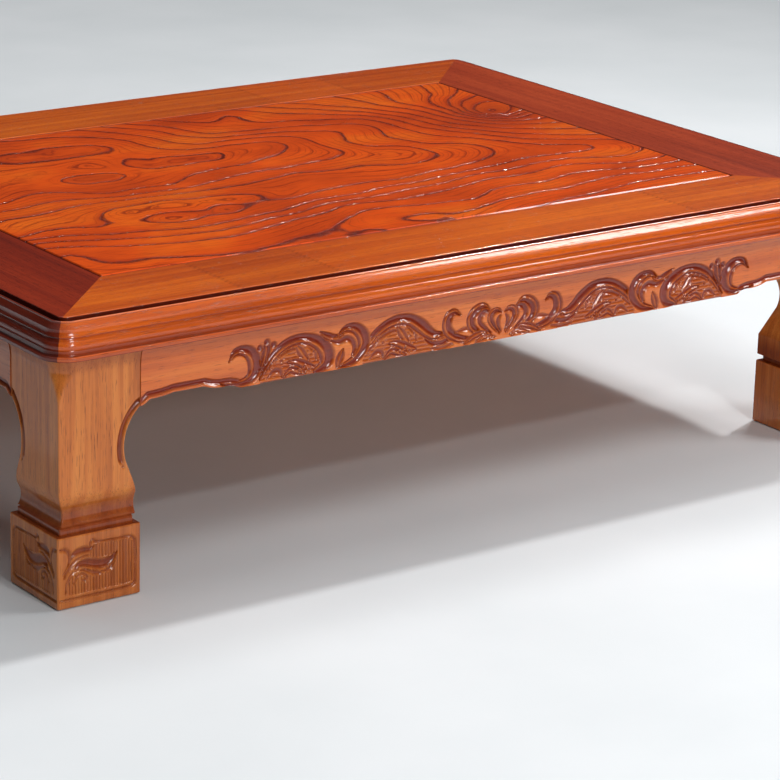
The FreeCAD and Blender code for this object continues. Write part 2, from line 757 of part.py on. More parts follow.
def make_hanger_washer(name):
    body = new_body(name)
    ring = sketch_on(body, name + "_ring", "XY_Plane", "block_thickness")
    circle(ring, "washer_radius")
    circle(ring, "hanger_radius + joint_clearance")
    pad(body, ring, "washer_thickness")
    return body


def make_hanger_nut(name):
    body = new_body(name)
    hexagon = sketch_on(body, name + "_hexagon", "XY_Plane", "block_thickness + washer_thickness")
    corner = "nut_across_flats / sqrt(3)"
    half = "nut_across_flats / 2"
    outline(hexagon, ((corner, "0"), (f"{corner} / 2", half), (f"-{corner} / 2", half),
                      (f"-{corner}", "0"), (f"-{corner} / 2", f"-{half}"), (f"{corner} / 2", f"-{half}")))
    circle(hexagon, "hanger_radius + joint_clearance")
    pad(body, hexagon, "nut_height")
    return body


def make_button(name):
    """A wooden button against an apron's back at y = 0, under the rail at z = 0."""
    body = new_body(name)
    section = sketch_on(body, name + "_section", "YZ_Plane")
    outline(section, (("0", "0"), ("button_width", "0"), ("button_width", "-button_height"),
                      ("-button_tongue_length", "-button_height"),
                      ("-button_tongue_length", "-button_height + button_tongue_height"),
                      ("0", "-button_height + button_tongue_height")))
    pad(body, section, "button_length", symmetric=True)
    return body


def make_button_slot(name):
    """The slot in an apron's back that takes a button's tongue."""
    body = new_body(name)
    section = sketch_on(body, name + "_section", "YZ_Plane")
    rectangle(section, "-button_tongue_length - joint_clearance", "overrun",
              "-button_height - joint_clearance", "-button_height + button_tongue_height + joint_clearance")
    pad(body, section, "button_length + 2 * joint_clearance", symmetric=True)
    return body


def hanger_spots():
    spots = []
    for sign_x, sign_y in CORNERS.values():
        inward = Rotation(Vector(0, 0, 1), Vector(-sign_x, -sign_y, 0))
        spots.append((signed(sign_x, "leg_inner_x + hanger_seat"),
                      signed(sign_y, "leg_inner_y + hanger_seat"), "hanger_height", inward))
    return spots


def block_screw_spots():
    """Heads of the screws from each corner block into its two aprons."""
    spots = []
    for sign_x, sign_y in CORNERS.values():
        for level in (-1, 1):
            height = f"hanger_height + {level} * block_screw_spread / 2"
            to_long = Rotation(Vector(0, 0, -1), Vector(0, sign_y, 0))
            spots.append((signed(sign_x, "block_line - block_slant / 2 - apron_back_y"),
                          signed(sign_y, "apron_back_y - block_screw_in_block"), height, to_long))
            to_short = Rotation(Vector(0, 0, -1), Vector(sign_x, 0, 0))
            spots.append((signed(sign_x, "apron_back_x - block_screw_in_block"),
                          signed(sign_y, "block_line - block_slant / 2 - apron_back_x"), height, to_short))
    return spots


def top_screw_spots():
    """Heads of the two screws from each corner block up into the rails."""
    spots = []
    for sign_x, sign_y in CORNERS.values():
        for side in (-1, 1):
            shift = f"hanger_seat - block_slant / 4 + {side} * top_screw_spread / sqrt(8)"
            counter_shift = f"hanger_seat - block_slant / 4 - {side} * top_screw_spread / sqrt(8)"
            spots.append((signed(sign_x, f"leg_inner_x + {shift}"),
                          signed(sign_y, f"leg_inner_y + {counter_shift}"),
                          "underside - block_height", HEAD_DOWN))
    return spots


def batten_screw_spots():
    return [(f"{step} * batten_spacing", f"{row} * batten_screw_spacing",
             "panel_underside - batten_height", HEAD_DOWN)
            for step in (-1, 0, 1) for row in (-1, 0, 1)]


def button_spots(inward="0", drop="0", turn=None):
    """Places of the buttons, or of what lies inward of the aprons' backs and lower than the rails."""
    spots = []
    for side in (-1, 1):
        facing = Rotation(Vector(0, 0, 1), 0 if side < 0 else 180)
        for step in (-1, 0, 1):
            spots.append((f"{step} * long_button_spacing", signed(side, f"apron_back_y - ({inward})"),
                          f"underside - ({drop})", turn or facing))
        facing = Rotation(Vector(0, 0, 1), 90 * side)
        for step in (-0.5, 0.5):
            spots.append((signed(side, f"apron_back_x - ({inward})"), f"{step} * short_button_spacing",
                          f"underside - ({drop})", turn or facing))
    return spots


def button_screw_spots():
    return button_spots("button_width / 2", "button_height", HEAD_DOWN)


# Assembly

sizes_sheet = make_sheets()

mitre_splines = place(make_spline("spline", "0"), mitre_spots(), "mitre_splines")
spline_voids = place(make_spline("spline_void", "joint_clearance"), mitre_spots(), "spline_voids")

BATTEN_SCREW = "batten_height + batten_screw_in_panel"
batten_screws = place(make_screw("batten_screw", BATTEN_SCREW), batten_screw_spots(), "batten_screws")
batten_screw_voids = place(make_screw_hole("batten_screw_void", BATTEN_SCREW),
                           batten_screw_spots(), "batten_screw_voids")

TOP_SCREW = "block_height + top_screw_in_rail"
block_top_screws = place(make_screw("top_screw", TOP_SCREW), top_screw_spots(), "block_top_screws")
top_screw_voids = place(make_screw_hole("top_screw_void", TOP_SCREW),
                        top_screw_spots(), "top_screw_voids")

BLOCK_SCREW = "block_screw_in_block + block_screw_in_apron"
corner_block_screws = place(make_screw("block_screw", BLOCK_SCREW),
                            block_screw_spots(), "corner_block_screws")
block_screw_voids = place(make_screw_hole("block_screw_void", BLOCK_SCREW, "block_slant"),
                          block_screw_spots(), "block_screw_voids")

BUTTON_SCREW = "button_height + button_screw_in_rail"
button_screws = place(make_screw("button_screw", BUTTON_SCREW), button_screw_spots(), "button_screws")
button_screw_voids = place(make_screw_hole("button_screw_void", BUTTON_SCREW),
                           button_screw_spots(), "button_screw_voids")

hanger_bolts = place(make_hanger_bolt("hanger_bolt"), hanger_spots(), "hanger_bolts")
hanger_voids = place(make_hanger_bolt("hanger_void", "joint_clearance"), hanger_spots(), "hanger_voids")
hanger_washers = place(make_hanger_washer("hanger_washer"), hanger_spots(), "hanger_washers")
hanger_nuts = place(make_hanger_nut("hanger_nut"), hanger_spots(), "hanger_nuts")

whole_buttons = place(make_button("button"), button_spots(), "whole_buttons")
button_slots = place(make_button_slot("button_slot"), button_spots(), "button_slots")
top_buttons = cut("top_buttons", whole_buttons, button_screw_voids)

nodes = [mitre_splines, batten_screws, block_top_screws, corner_block_screws, button_screws,
         hanger_bolts, hanger_washers, hanger_nuts, top_buttons]

nodes.append(cut("top_panel", make_panel(), batten_screw_voids))
for name, step in (("left_batten", -1), ("middle_batten", 0), ("right_batten", 1)):
    nodes.append(cut(name, make_batten(name + "_blank", step), batten_screw_voids))

long_rail = make_rail("long_rail", "YZ_Plane", "YZ_Plane", "frame_x", "frame_y", "sight_x", "sight_y", False)
cut_batten_mortises(long_rail)
short_rail = make_rail("short_rail", "XZ_Plane", "XZ_Plane", "frame_y", "frame_x", "sight_y", "sight_x", True)
rail_voids = (spline_voids, top_screw_voids, button_screw_voids)
front_rail = cut("front_rail", long_rail, *rail_voids)
left_rail = cut("left_rail", short_rail, *rail_voids)
nodes += [front_rail, mirror(front_rail, "back_rail", ALONG)]
nodes += [left_rail, mirror(left_rail, "right_rail", ACROSS)]

front_moulding = make_moulding("front_edge_moulding", "YZ_Plane", "frame_y", "frame_x",
                               "frame_x - corner_radius", "YZ_Plane", False)
left_moulding = make_moulding("left_edge_moulding", "XZ_Plane", "frame_x", "frame_y",
                              "corner_radius - frame_y", "XZ_Plane", True)
nodes += [front_moulding, mirror(front_moulding, "back_edge_moulding", ALONG)]
nodes += [left_moulding, mirror(left_moulding, "right_edge_moulding", ACROSS)]

long_apron = make_apron("long_apron", "XZ_Plane", "apron_y", "YZ_Plane", "apron_y", "leg_inner_x", -1, True)
short_apron = make_apron("short_apron", "YZ_Plane", "-apron_x", "XZ_Plane", "apron_x",
                         "leg_inner_y", 1, False)
apron_voids = (button_slots, block_screw_voids)
front_apron = cut("front_apron", long_apron, *apron_voids)
left_apron = cut("left_apron", short_apron, *apron_voids)
nodes += [front_apron, mirror(front_apron, "back_apron", ALONG)]
nodes += [left_apron, mirror(left_apron, "right_apron", ACROSS)]

CORNER_PIECES = {
    "leg": cut("front_left_leg", make_leg("leg_blank"), hanger_voids),
    "corner_block": cut("front_left_corner_block", make_corner_block("corner_block_blank"),
                        hanger_voids, block_screw_voids, top_screw_voids),
    "foot_pad": make_foot_pad("front_left_foot_pad"),
}
for piece, front_left in CORNER_PIECES.items():
    back_left = mirror(front_left, f"back_left_{piece}", ALONG)
    nodes += [front_left, back_left]
    nodes.append(mirror(front_left, f"front_right_{piece}", ACROSS))
    nodes.append(mirror(back_left, f"back_right_{piece}", ACROSS))

doc.recompute()


# Checks and files

for item in doc.Objects:
    if "Invalid" in item.State or "Error" in item.State:
        raise RuntimeError(f"{item.Label} failed: {item.State}")
for node in nodes:
    if node.Shape.isNull() or not node.Shape.isValid():
        raise RuntimeError(f"{node.Label} has no valid shape")

os.makedirs("parts", exist_ok=True)
for node in nodes:
    node.Shape.exportStep(f"parts/{node.Label}.step")
    print(node.Label, len(node.Shape.Solids), round(node.Shape.Volume / 1000, 1), "cm3")
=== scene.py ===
import math

import bpy
import numpy as np
from mathutils import Matrix


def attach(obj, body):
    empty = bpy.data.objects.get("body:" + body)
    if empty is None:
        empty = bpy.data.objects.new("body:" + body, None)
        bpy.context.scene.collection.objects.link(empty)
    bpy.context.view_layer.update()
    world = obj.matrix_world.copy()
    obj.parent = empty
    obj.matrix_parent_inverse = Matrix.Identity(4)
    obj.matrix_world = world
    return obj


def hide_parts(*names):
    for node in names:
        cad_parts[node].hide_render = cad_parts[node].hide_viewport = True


# A low floor table: a figured panel in a mitred frame, a stepped edge moulding, and aprons and feet with
# carved scrolls, all under clear lacquer. Lengths are millimetres in the table's frame: +Z up, +X along
# the length, and the origin on the floor under the middle of the top.

MM = 0.001
TABLE_TOP = 320.0
UNDERSIDE = 276.5
FRAME_X, FRAME_Y = 576.0, 426.0
CORNER_RADIUS = 10.0
PANEL_X, PANEL_Y = 457.7, 307.7
PANEL_THICKNESS = 15.0
PANEL_CHAMFER = 2.5
# How far the chamfer drops for each millimetre across it.
CHAMFER_SLOPE = 1.15
FOOT_X, FOOT_Y = 592.0, 442.0
APRON_X, APRON_Y = 588.0, 438.0
APRON_THICKNESS = 25.0
SEAM_X, SEAM_Y = 486.5, 336.5
SHOULDER = 211.5
LEG_TOP_WIDTH = 105.5
FLARE_BOTTOM = 256.5
FLARE_RADIUS = 58.9

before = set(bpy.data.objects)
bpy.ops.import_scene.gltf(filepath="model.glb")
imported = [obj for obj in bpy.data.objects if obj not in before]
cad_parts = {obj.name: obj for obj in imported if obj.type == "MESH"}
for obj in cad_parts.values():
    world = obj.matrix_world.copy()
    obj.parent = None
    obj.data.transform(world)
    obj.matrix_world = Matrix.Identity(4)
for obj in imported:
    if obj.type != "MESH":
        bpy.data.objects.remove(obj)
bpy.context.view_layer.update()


# Curves

def stacked(*coordinates):
    """Points from arrays of their coordinates. A single number counts for all of them."""
    return np.stack(np.broadcast_arrays(*coordinates), axis=-1)


def arc(start, end, bend, count):
    """Points from start to end on an arc of radius |bend|.

    It bulges left of the walk, or right of it if bend is below 0.
    """
    start, end = np.array(start, float), np.array(end, float)
    along = end - start
    half_chord = np.linalg.norm(along) / 2
    left = np.array((-along[1], along[0])) / np.linalg.norm(along)
    to_centre = math.sqrt(bend ** 2 - half_chord ** 2)
    centre = (start + end) / 2 - left * math.copysign(to_centre, bend)
    first = math.atan2(*(start - centre)[::-1])
    sweep = -math.copysign(2 * math.asin(half_chord / abs(bend)), bend)
    angles = first + sweep * np.linspace(0, 1, count)
    return centre + abs(bend) * stacked(np.cos(angles), np.sin(angles))


def trace(points, count=20):
    """A line through (across, up) points. A third number is the bend of an arc to the next point."""
    parts = []
    for (x, y, *bend), following in zip(points, points[1:]):
        parts.append(arc((x, y), following[:2], *bend, count)[:-1] if bend else [(x, y)])
    return np.concatenate(parts + [[points[-1][:2]]])


def smooth_path(controls, steps=24):
    """A smooth curve through control points of any number of coordinates."""
    spots = np.array(controls, float)
    padded = np.concatenate((2 * spots[:1] - spots[1:2], spots, 2 * spots[-1:] - spots[-2:-1]))
    share = np.linspace(0, 1, steps, endpoint=False)[:, None]
    runs = []
    for before, start, end, after in zip(padded, padded[1:], padded[2:], padded[3:]):
        runs.append(0.5 * (2 * start + (end - before) * share
                           + (2 * before - 5 * start + 4 * end - after) * share ** 2
                           + (3 * start - before - 3 * end + after) * share ** 3))
    runs.append(spots[-1:])
    return np.concatenate(runs)


def ease(value, low, high):
    """0 below low, 1 above high, and a smooth step between."""
    share = np.clip((value - low) / (high - low), 0, 1)
    return share * share * (3 - 2 * share)


def distance_to(line, across, up):
    """Distance from each spot to the nearest point of a line of closely spaced points."""
    nearest = np.full(np.broadcast(across, up).shape, np.inf)
    for x, y in line:
        np.minimum(nearest, (across - x) ** 2 + (up - y) ** 2, out=nearest)
    return np.sqrt(nearest)


# Meshes

def loft(rings):
    """A closed skin over rings of equal length, as vertices, four-sided faces and the two end faces."""
    levels, count, _ = rings.shape
    here = np.arange(count)
    ahead = np.roll(here, -1)
    base = np.arange(levels - 1)[:, None] * count
    sides = stacked(base + here, base + ahead, base + count + ahead, base + count + here)
    ends = [list(range(count))[::-1], list(range((levels - 1) * count, levels * count))]
    return rings.reshape(-1, 3), sides.reshape(-1, 4), ends


def signed_volume(vertices, sides):
    a, b, c, d = (vertices[sides[:, corner]] for corner in range(4))
    return float(np.sum(a * np.cross(b, c)) + np.sum(a * np.cross(c, d)))


def give_values(piece, name, values):
    """Store a number for each vertex, for the material to read."""
    attribute = piece.data.attributes.new(name, "FLOAT", "POINT")
    attribute.data.foreach_set("value", values.ravel().astype(np.float32))


def put(name, data):
    """A new object in the scene, with a mesh, a lamp or a camera."""
    holder = bpy.data.objects.new(name, data)
    bpy.context.scene.collection.objects.link(holder)
    return holder


def make_piece(name, node, skin, material, sharp_degrees=40):
    """A piece from a lofted skin, in place of a CAD node. Its faces are turned outward."""
    vertices, sides, ends = skin
    middle = vertices.mean(axis=0)
    faces = sides.tolist() + ends
    if signed_volume(vertices - middle, sides) < 0:
        faces = [face[::-1] for face in faces]
    mesh = bpy.data.meshes.new(name)
    mesh.from_pydata((vertices * MM).tolist(), [], faces)
    mesh.shade_smooth()
    mesh.set_sharp_from_angle(angle=math.radians(sharp_degrees))
    mesh.materials.append(material)
    piece = put(name, mesh)
    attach(piece, "root")
    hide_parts(node)
    return piece


# How (along, out, up) of a side's pieces become x, y and z.
SIDES = {
    "front": np.array(((1, 0, 0), (0, -1, 0), (0, 0, 1))),
    "back": np.array(((1, 0, 0), (0, 1, 0), (0, 0, 1))),
    "left": np.array(((0, -1, 0), (1, 0, 0), (0, 0, 1))),
    "right": np.array(((0, 1, 0), (1, 0, 0), (0, 0, 1))),
}


# Edge mouldings

GROOVE_WIDTH = 6.5
GROOVE_DEPTH = 8.5
LIP_DROP = 2.5
MOULDING_OUT = 24.0
MOULDING_HEIGHT = TABLE_TOP - UNDERSIDE
TURN_STEPS = 13
# Painted shade in the creases and hollows of the moulding and under its bead, as (drop from, drop to,
# shade).
MOULDING_SHADES = ((3.4, 4.5, 0.4), (18.5, 19.6, 0.6), (20.8, 22.6, 0.25), (31.9, 32.9, 0.5),
                   (36.2, 37.4, 0.6), (38.2, 42.0, 0.3), (42.0, 43.5, 0.8))


def moulding_section():
    """Section of the edge moulding as (out from the frame, drop below the table top) points."""
    groove = [(0, MOULDING_HEIGHT), (0, GROOVE_DEPTH), (GROOVE_WIDTH, GROOVE_DEPTH)]
    lip = [(GROOVE_WIDTH, 2.9), (6.9, LIP_DROP), (8.0, LIP_DROP), (8.7, 3.0), (8.8, 4.3)]
    quarter_round = [(9.2, 4.6, 36), (13.9, 10.2, 12.6), (15.6, 17.8)]
    steps = [(14.6, 18.7), (14.5, 19.4), (15.6, 21.2), (16.0, 22.2), (16.1, 22.9, -8), (17.6, 31.4),
             (18.0, 32.1), (18.1, 32.8), (18.2, 36.4)]
    base = [(18.4, 37.0), (19.2, 37.3), (21.0, 37.4), (22.8, 37.6), (23.5, 37.9), (23.85, 38.4),
            (24.0, 39.1), (23.9, 41.0), (23.4, 42.3), (22.6, 43.1), (21.5, 43.5)]
    upper = trace(groove + lip + quarter_round + steps, 16)
    section = np.concatenate((upper, smooth_path(base, 5)))
    return np.minimum(section, (MOULDING_OUT, MOULDING_HEIGHT))


def moulding_skin(half_length, frame_out):
    """A strip along a side of the frame that turns an eighth of a circle at each end, and its painted
    shade.
    """
    section = moulding_section()
    turn = np.radians(np.linspace(0, 45, TURN_STEPS))
    out = section[:, 0] + CORNER_RADIUS
    rings = []
    for end, angles in ((-1, turn[::-1]), (1, turn)):
        for angle in angles:
            along = end * (half_length - CORNER_RADIUS + out * math.sin(angle))
            reach = frame_out - CORNER_RADIUS + out * math.cos(angle)
            rings.append(stacked(along, reach, TABLE_TOP - section[:, 1]))
    painted_shade = np.zeros(len(section))
    for low, high, amount in MOULDING_SHADES:
        painted_shade[(section[:, 1] >= low) & (section[:, 1] <= high)] = amount
    # Painted shade fills the groove between frame and moulding.
    in_groove = (section[:, 0] < GROOVE_WIDTH + 0.1) & (section[:, 1] > LIP_DROP + 0.3)
    painted_shade[in_groove] = 1.0
    return loft(np.array(rings)), np.tile(painted_shade, len(rings))


# Aprons: lower edge, flute and carving

def lower_edge():
    """Lower edge of an apron as (run from the seam with the leg, height) points."""
    return trace(((0, SHOULDER, -20), (11, 217.5, -150), (41, 220.5), (80, 220.5, -63.6),
                  (103.5, 216, 63.6), (127, SHOULDER)))


def neck_edge():
    """Hollow of a leg's neck, from the shoulder down, as (inset from the foot's outer face, height)."""
    return trace(((LEG_TOP_WIDTH, SHOULDER, -58.3), (89.2, 149)))[:-1]


def dense(line, step=0.5):
    """The same line with points at most a step apart."""
    lengths = np.concatenate(((0,), np.cumsum(np.linalg.norm(np.diff(line, axis=0), axis=1))))
    places = np.linspace(0, lengths[-1], int(lengths[-1] / step) + 2)
    return stacked(*(np.interp(places, lengths, line[:, axis]) for axis in range(2)))


# Lower edge of apron and leg together, as (run from the seam, height).
# A flute follows it behind a thin, rounded lip.
LEG_RUN = neck_edge() - np.array((LEG_TOP_WIDTH, 0))
APRON_RUN = lower_edge()
FLUTED_EDGE = dense(np.concatenate((LEG_RUN[::-1], APRON_RUN[1:])))
LIP_WIDTH = 2.2
LIP_ROUNDING = 0.6
FLUTE_WIDTH = 7.8
FLUTE_DEPTH = 2.8


def gouge(place):
    """Section of a round hollow: 1 deep at place 0, and nothing from place -1 and 1 outward."""
    return np.clip(1 - place ** 2, 0, 1)


def twin_gouge(place):
    """A wide hollow left of the path and a narrow one right of it, with a ridge between them."""
    return np.maximum(gouge((place - 0.32) / 0.68), 0.7 * gouge((place + 0.68) / 0.32))


def leaf_gouge(place):
    """Two equal hollows with a vein between them."""
    return np.maximum(gouge((np.abs(place) - 0.5) / 0.5), 0.2)


def edge_flute(run, up):
    """Depth of the flute along the lower edge, and of the rounding of the lip outside it."""
    away = distance_to(FLUTED_EDGE, run, up)
    rounding = LIP_ROUNDING * np.clip(1 - away / LIP_WIDTH, 0, 1) ** 2
    return rounding + FLUTE_DEPTH * gouge((away - LIP_WIDTH - FLUTE_WIDTH / 2) / (FLUTE_WIDTH / 2))


def flare(up):
    """How far the hollow band at the top of legs and aprons stands out."""
    rise = np.clip(up - FLARE_BOTTOM, 0, None)
    return FLARE_RADIUS - np.sqrt(FLARE_RADIUS ** 2 - rise ** 2)


# Painted shade: the depth of hollow that is fully shaded, and the strength and rise of the shade under the
# moulding.
SHADED_DEPTH = 2.3
FLARE_SHADE = 0.35
FLARE_SHADE_RISE = 12.0


def hollow_shade(depth):
    """How much painted shade darkens a hollow of some depth, from 0 to 1."""
    return np.clip(depth / SHADED_DEPTH, 0, 1)


def flare_shade(up):
    """How much painted shade darkens the band under the moulding, where legs and aprons flare."""
    return FLARE_SHADE * ease(up, FLARE_BOTTOM, FLARE_BOTTOM + FLARE_SHADE_RISE)


# How much wider a cut is than the line it was drawn with, and half the width of the narrowest cut.
TOOL_SPREAD = 1.15
LEAST_HALF = 0.5


class Relief:
    """Depths of the cuts in a carved face, over spots given as (across, up)."""

    def __init__(self, across, up):
        self.across = across
        self.up = up
        self.depth = np.zeros(across.shape)

    def near(self, controls, margin):
        """Which spots lie in the box round control points (across, up, width)."""
        spots = np.array(controls, float)
        low = spots[:, :2].min(axis=0) - margin
        high = spots[:, :2].max(axis=0) + margin
        return ((self.across > low[0]) & (self.across < high[0])
                & (self.up > low[1]) & (self.up < high[1]))

    def cut(self, controls, depth, section):
        """Cut along a path of changing width. What lies under it is cut away."""
        chosen = self.near(controls, max(width for _, _, width in controls))
        x, y = self.across[chosen], self.up[chosen]
        path = smooth_path(controls, 14)
        heading = np.gradient(path[:, :2], axis=0)
        closest = np.full(x.shape, np.inf)
        place = np.full(x.shape, 2.0)
        for (path_x, path_y, width), (run_x, run_y) in zip(path, heading):
            gap = np.hypot(x - path_x, y - path_y)
            side = np.where(run_x * (y - path_y) - run_y * (x - path_x) < 0, -1.0, 1.0)
            nearer = gap < closest
            closest[nearer] = gap[nearer]
            place[nearer] = (side * gap)[nearer] / max(TOOL_SPREAD * width / 2, LEAST_HALF)
        inside = np.abs(place) < 1
        self.depth[chosen] = np.where(inside, depth * section(place), self.depth[chosen])

    def dimple(self, across, up, radius, depth):
        """Cut a round hollow."""
        gap = np.hypot(self.across - across, self.up - up) / radius
        self.depth = np.where(gap < 1, depth * gouge(gap), self.depth)

    def sink(self, outline, depth, reed, pitch, upright=False):
        """Sink the ground inside an outline and cover it with reeds, level ones or upright ones."""
        inside = np.zeros(self.across.shape, bool)
        spots = np.array(outline, float)
        for (x, y), (next_x, next_y) in zip(spots, np.roll(spots, -1, axis=0)):
            if y == next_y:
                continue
            crossing = x + (self.up - y) / (next_y - y) * (next_x - x)
            inside ^= ((y > self.up) != (next_y > self.up)) & (self.across < crossing)
        way = self.across if upright else self.up
        reeds = reed * np.abs(np.sin(math.pi * way / pitch))
        self.depth = np.where(inside, depth - reeds, self.depth)


# Carving of the left half of a long apron. Each cut is depth, section and (across, up, width) points.
END_CRESCENT = (
    (3.4, twin_gouge, ((-375, 243, 2), (-367, 252, 9), (-355, 252.5, 13), (-345, 246, 17),
                       (-340.5, 234, 19), (-345, 222, 14), (-356, 217, 9), (-370, 217, 6), (-384, 219, 4))),
)
BUD_DIMPLES = ((-334.5, 252), (-325.5, 257.5), (-316.5, 253))
BUD_RADIUS = 5.0
BUD_DEPTH = 3.0
BUD = (
    (3.0, leaf_gouge, ((-326, 251, 12), (-327, 243, 11), (-330, 234, 7), (-333, 226, 3))),
)
FIRST_ARCH = ((-334, 217, 4), (-323, 233, 9), (-310, 245.5, 12), (-295, 252.5, 13), (-279, 254, 13),
              (-265, 250.5, 15), (-253, 243, 18), (-246, 232, 20), (-248, 221, 16), (-260, 214.5, 8))
SECOND_ARCH = ((-197, 222, 4), (-186, 238, 10), (-173, 248, 12), (-159, 254, 13), (-144, 255.5, 14),
               (-130, 252.5, 15), (-117, 244, 17), (-107, 235.5, 15), (-97, 230, 12), (-84, 230, 5))
ARCH_LEAVES = (
    (2.2, gouge, ((-328, 224, 3), (-316, 234, 6), (-305, 241, 7), (-294, 244, 6), (-283, 243, 3))),
    (2.2, leaf_gouge, ((-286, 247, 4), (-281, 240, 11), (-276, 233, 10), (-270, 227, 4))),
    (2.0, gouge, ((-273, 246, 3), (-266, 241, 7), (-261, 234, 6), (-260, 228, 3))),
    (2.4, leaf_gouge, ((-297, 230, 4), (-286, 228, 10), (-273, 222, 12), (-261, 218, 5))),
    (2.2, gouge, ((-324, 216, 3), (-316, 223, 7), (-308, 222, 7), (-305, 215, 5))),
    (2.4, leaf_gouge, ((-303, 214, 4), (-294, 220, 9), (-284, 217, 9), (-275, 214, 4))),
)
BERRIES = ((-282, 217.5), (-275.5, 221.5), (-269, 217.5), (-313, 236), (-306, 232.5), (-263, 237))
BERRY_RADIUS = 2.9
BERRY_DEPTH = 2.4
S_LEAVES = (
    (3.0, twin_gouge, ((-255, 258, 3), (-246, 252.5, 9), (-236, 249, 8), (-226, 251, 5))),
    (3.4, twin_gouge, ((-230, 252, 3), (-220, 257, 9), (-208, 255.5, 13), (-199, 248, 16),
                       (-195.5, 237, 16), (-201, 226, 14), (-211, 218, 10), (-226, 214, 5))),
    (2.6, gouge, ((-241, 246, 3), (-230, 243, 7), (-219, 245.5, 8), (-211, 241, 8),
                  (-208, 233, 7), (-211, 225, 4))),
    (2.2, leaf_gouge, ((-231, 215, 6), (-229, 222, 10), (-226, 229, 8), (-224, 234, 2))),
)
TROUGH = (
    (2.6, gouge, ((-110, 227, 4), (-100, 221.5, 8), (-88, 219, 9), (-78, 223, 7), (-73, 231, 4))),
    (2.0, gouge, ((-102, 215, 4), (-87, 213.5, 6), (-72, 216, 4))),
)
HOOK = (
    (3.2, twin_gouge, ((-62, 249, 3), (-69, 253, 8), (-77, 250, 12), (-80.5, 240, 13),
                       (-77, 230.5, 13), (-67, 223, 11), (-56, 219, 9), (-43, 218, 4))),
    (2.0, gouge, ((-66, 229, 4), (-55, 231, 6), (-45, 230, 4))),
)
PALMETTE = (
    (3.2, twin_gouge, ((-20, 250, 3), (-29, 254, 9), (-39, 251, 12), (-46, 243, 12),
                       (-45, 233, 11), (-38, 226, 9), (-28, 220, 7), (-14, 214, 4))),
    (2.8, gouge, ((-18, 246, 3), (-26, 247.5, 7), (-32, 243.5, 8), (-33, 236, 7),
                  (-27, 229, 6), (-17, 221, 3))),
    (2.8, twin_gouge, ((-3, 244, 3), (-9, 246.5, 7), (-16, 244, 9), (-18, 237, 9),
                       (-13, 228, 7), (-5, 219, 3))),
    (2.4, gouge, ((-4, 240, 3), (-7, 235, 6), (-6, 228, 5), (-2.5, 221, 2))),
    (2.2, leaf_gouge, ((-54, 213.5, 4), (-43, 219, 8), (-32, 222, 8), (-23, 222, 3))),
    (2.0, leaf_gouge, ((-38, 213, 4), (-29, 216, 7), (-19, 217, 5), (-11, 215, 3))),
)


def moved(cuts, run):
    return tuple((depth, section, tuple((x + run, y, width) for x, y, width in controls))
                 for depth, section, controls in cuts)


def under_arch(arch, run):
    """Outline of the reeded ground below an arch."""
    crown = [(x + run, y) for x, y, _ in arch]
    return crown + [(crown[-1][0], GROUND_FOOT), (crown[0][0], GROUND_FOOT)]


# How far apart the two arches are, and how far the ornament of a short apron is moved in.
ARCH_PITCH = 137.0
SHORT_MOVE = 152.0
ARCH_DEPTH = 3.4
GROUND_DEPTH = 1.9
GROUND_REED = 1.2
GROUND_PITCH = 4.6
GROUND_FOOT = SHOULDER - 5


def carve(relief, short):
    """Carve an apron's left half. A short apron has one arch where a long one has two."""
    run = SHORT_MOVE if short else 0.0
    arches = (FIRST_ARCH,) if short else (FIRST_ARCH, SECOND_ARCH)
    for arch in arches:
        relief.sink(under_arch(arch, run), GROUND_DEPTH, GROUND_REED, GROUND_PITCH)
    cuts = moved(ARCH_LEAVES, run)
    if not short:
        cuts += moved(ARCH_LEAVES, ARCH_PITCH) + TROUGH
    cuts += moved(tuple((ARCH_DEPTH, twin_gouge, arch) for arch in arches) + END_CRESCENT + BUD, run)
    if not short:
        cuts += S_LEAVES
    for depth, section, controls in cuts + HOOK + PALMETTE:
        relief.cut(controls, depth, section)
    for x, y in BUD_DIMPLES:
        relief.dimple(x + run, y, BUD_RADIUS, BUD_DEPTH)
    for arch_run in (run,) if short else (run, ARCH_PITCH):
        for x, y in BERRIES:
            relief.dimple(x + arch_run, y, BERRY_RADIUS, BERRY_DEPTH)


# Where the flute of the lower edge starts to run into the carving, from the middle of a long apron.
FLUTE_END = 356.0
FLUTE_FADE = 10.0


def apron_skin(inner, face, step, short):
    """An apron with its carved face, and the painted shade in its hollows and in the band under the
    moulding.
    """
    along = np.linspace(-inner, inner, int(2 * inner / step) + 1)
    run = inner - np.abs(along)
    low = np.interp(run, APRON_RUN[:, 0], APRON_RUN[:, 1])
    share = np.linspace(0, 1, int((UNDERSIDE - SHOULDER) / step) + 1)
    up = low[:, None] + (UNDERSIDE - low[:, None]) * share
    across = np.broadcast_to(along[:, None], up.shape)
    relief = Relief(-np.abs(across), up)
    carve(relief, short)
    flute_end = FLUTE_END - SHORT_MOVE if short else FLUTE_END
    fluted = ease(np.abs(across), flute_end, flute_end + FLUTE_FADE)
    depth = np.maximum(relief.depth, edge_flute(run[:, None], up) * fluted)
    front = stacked(across, face + flare(up) - depth, up)
    back = np.stack([stacked(along, face - APRON_THICKNESS, edge) for edge in (UNDERSIDE, low)], axis=1)
    painted_shade = np.maximum(hollow_shade(depth), flare_shade(up))
    painted_shade = np.concatenate((painted_shade, np.zeros((len(along), 2))), axis=1)
    return loft(np.concatenate((front, back), axis=1)), painted_shade


# Legs

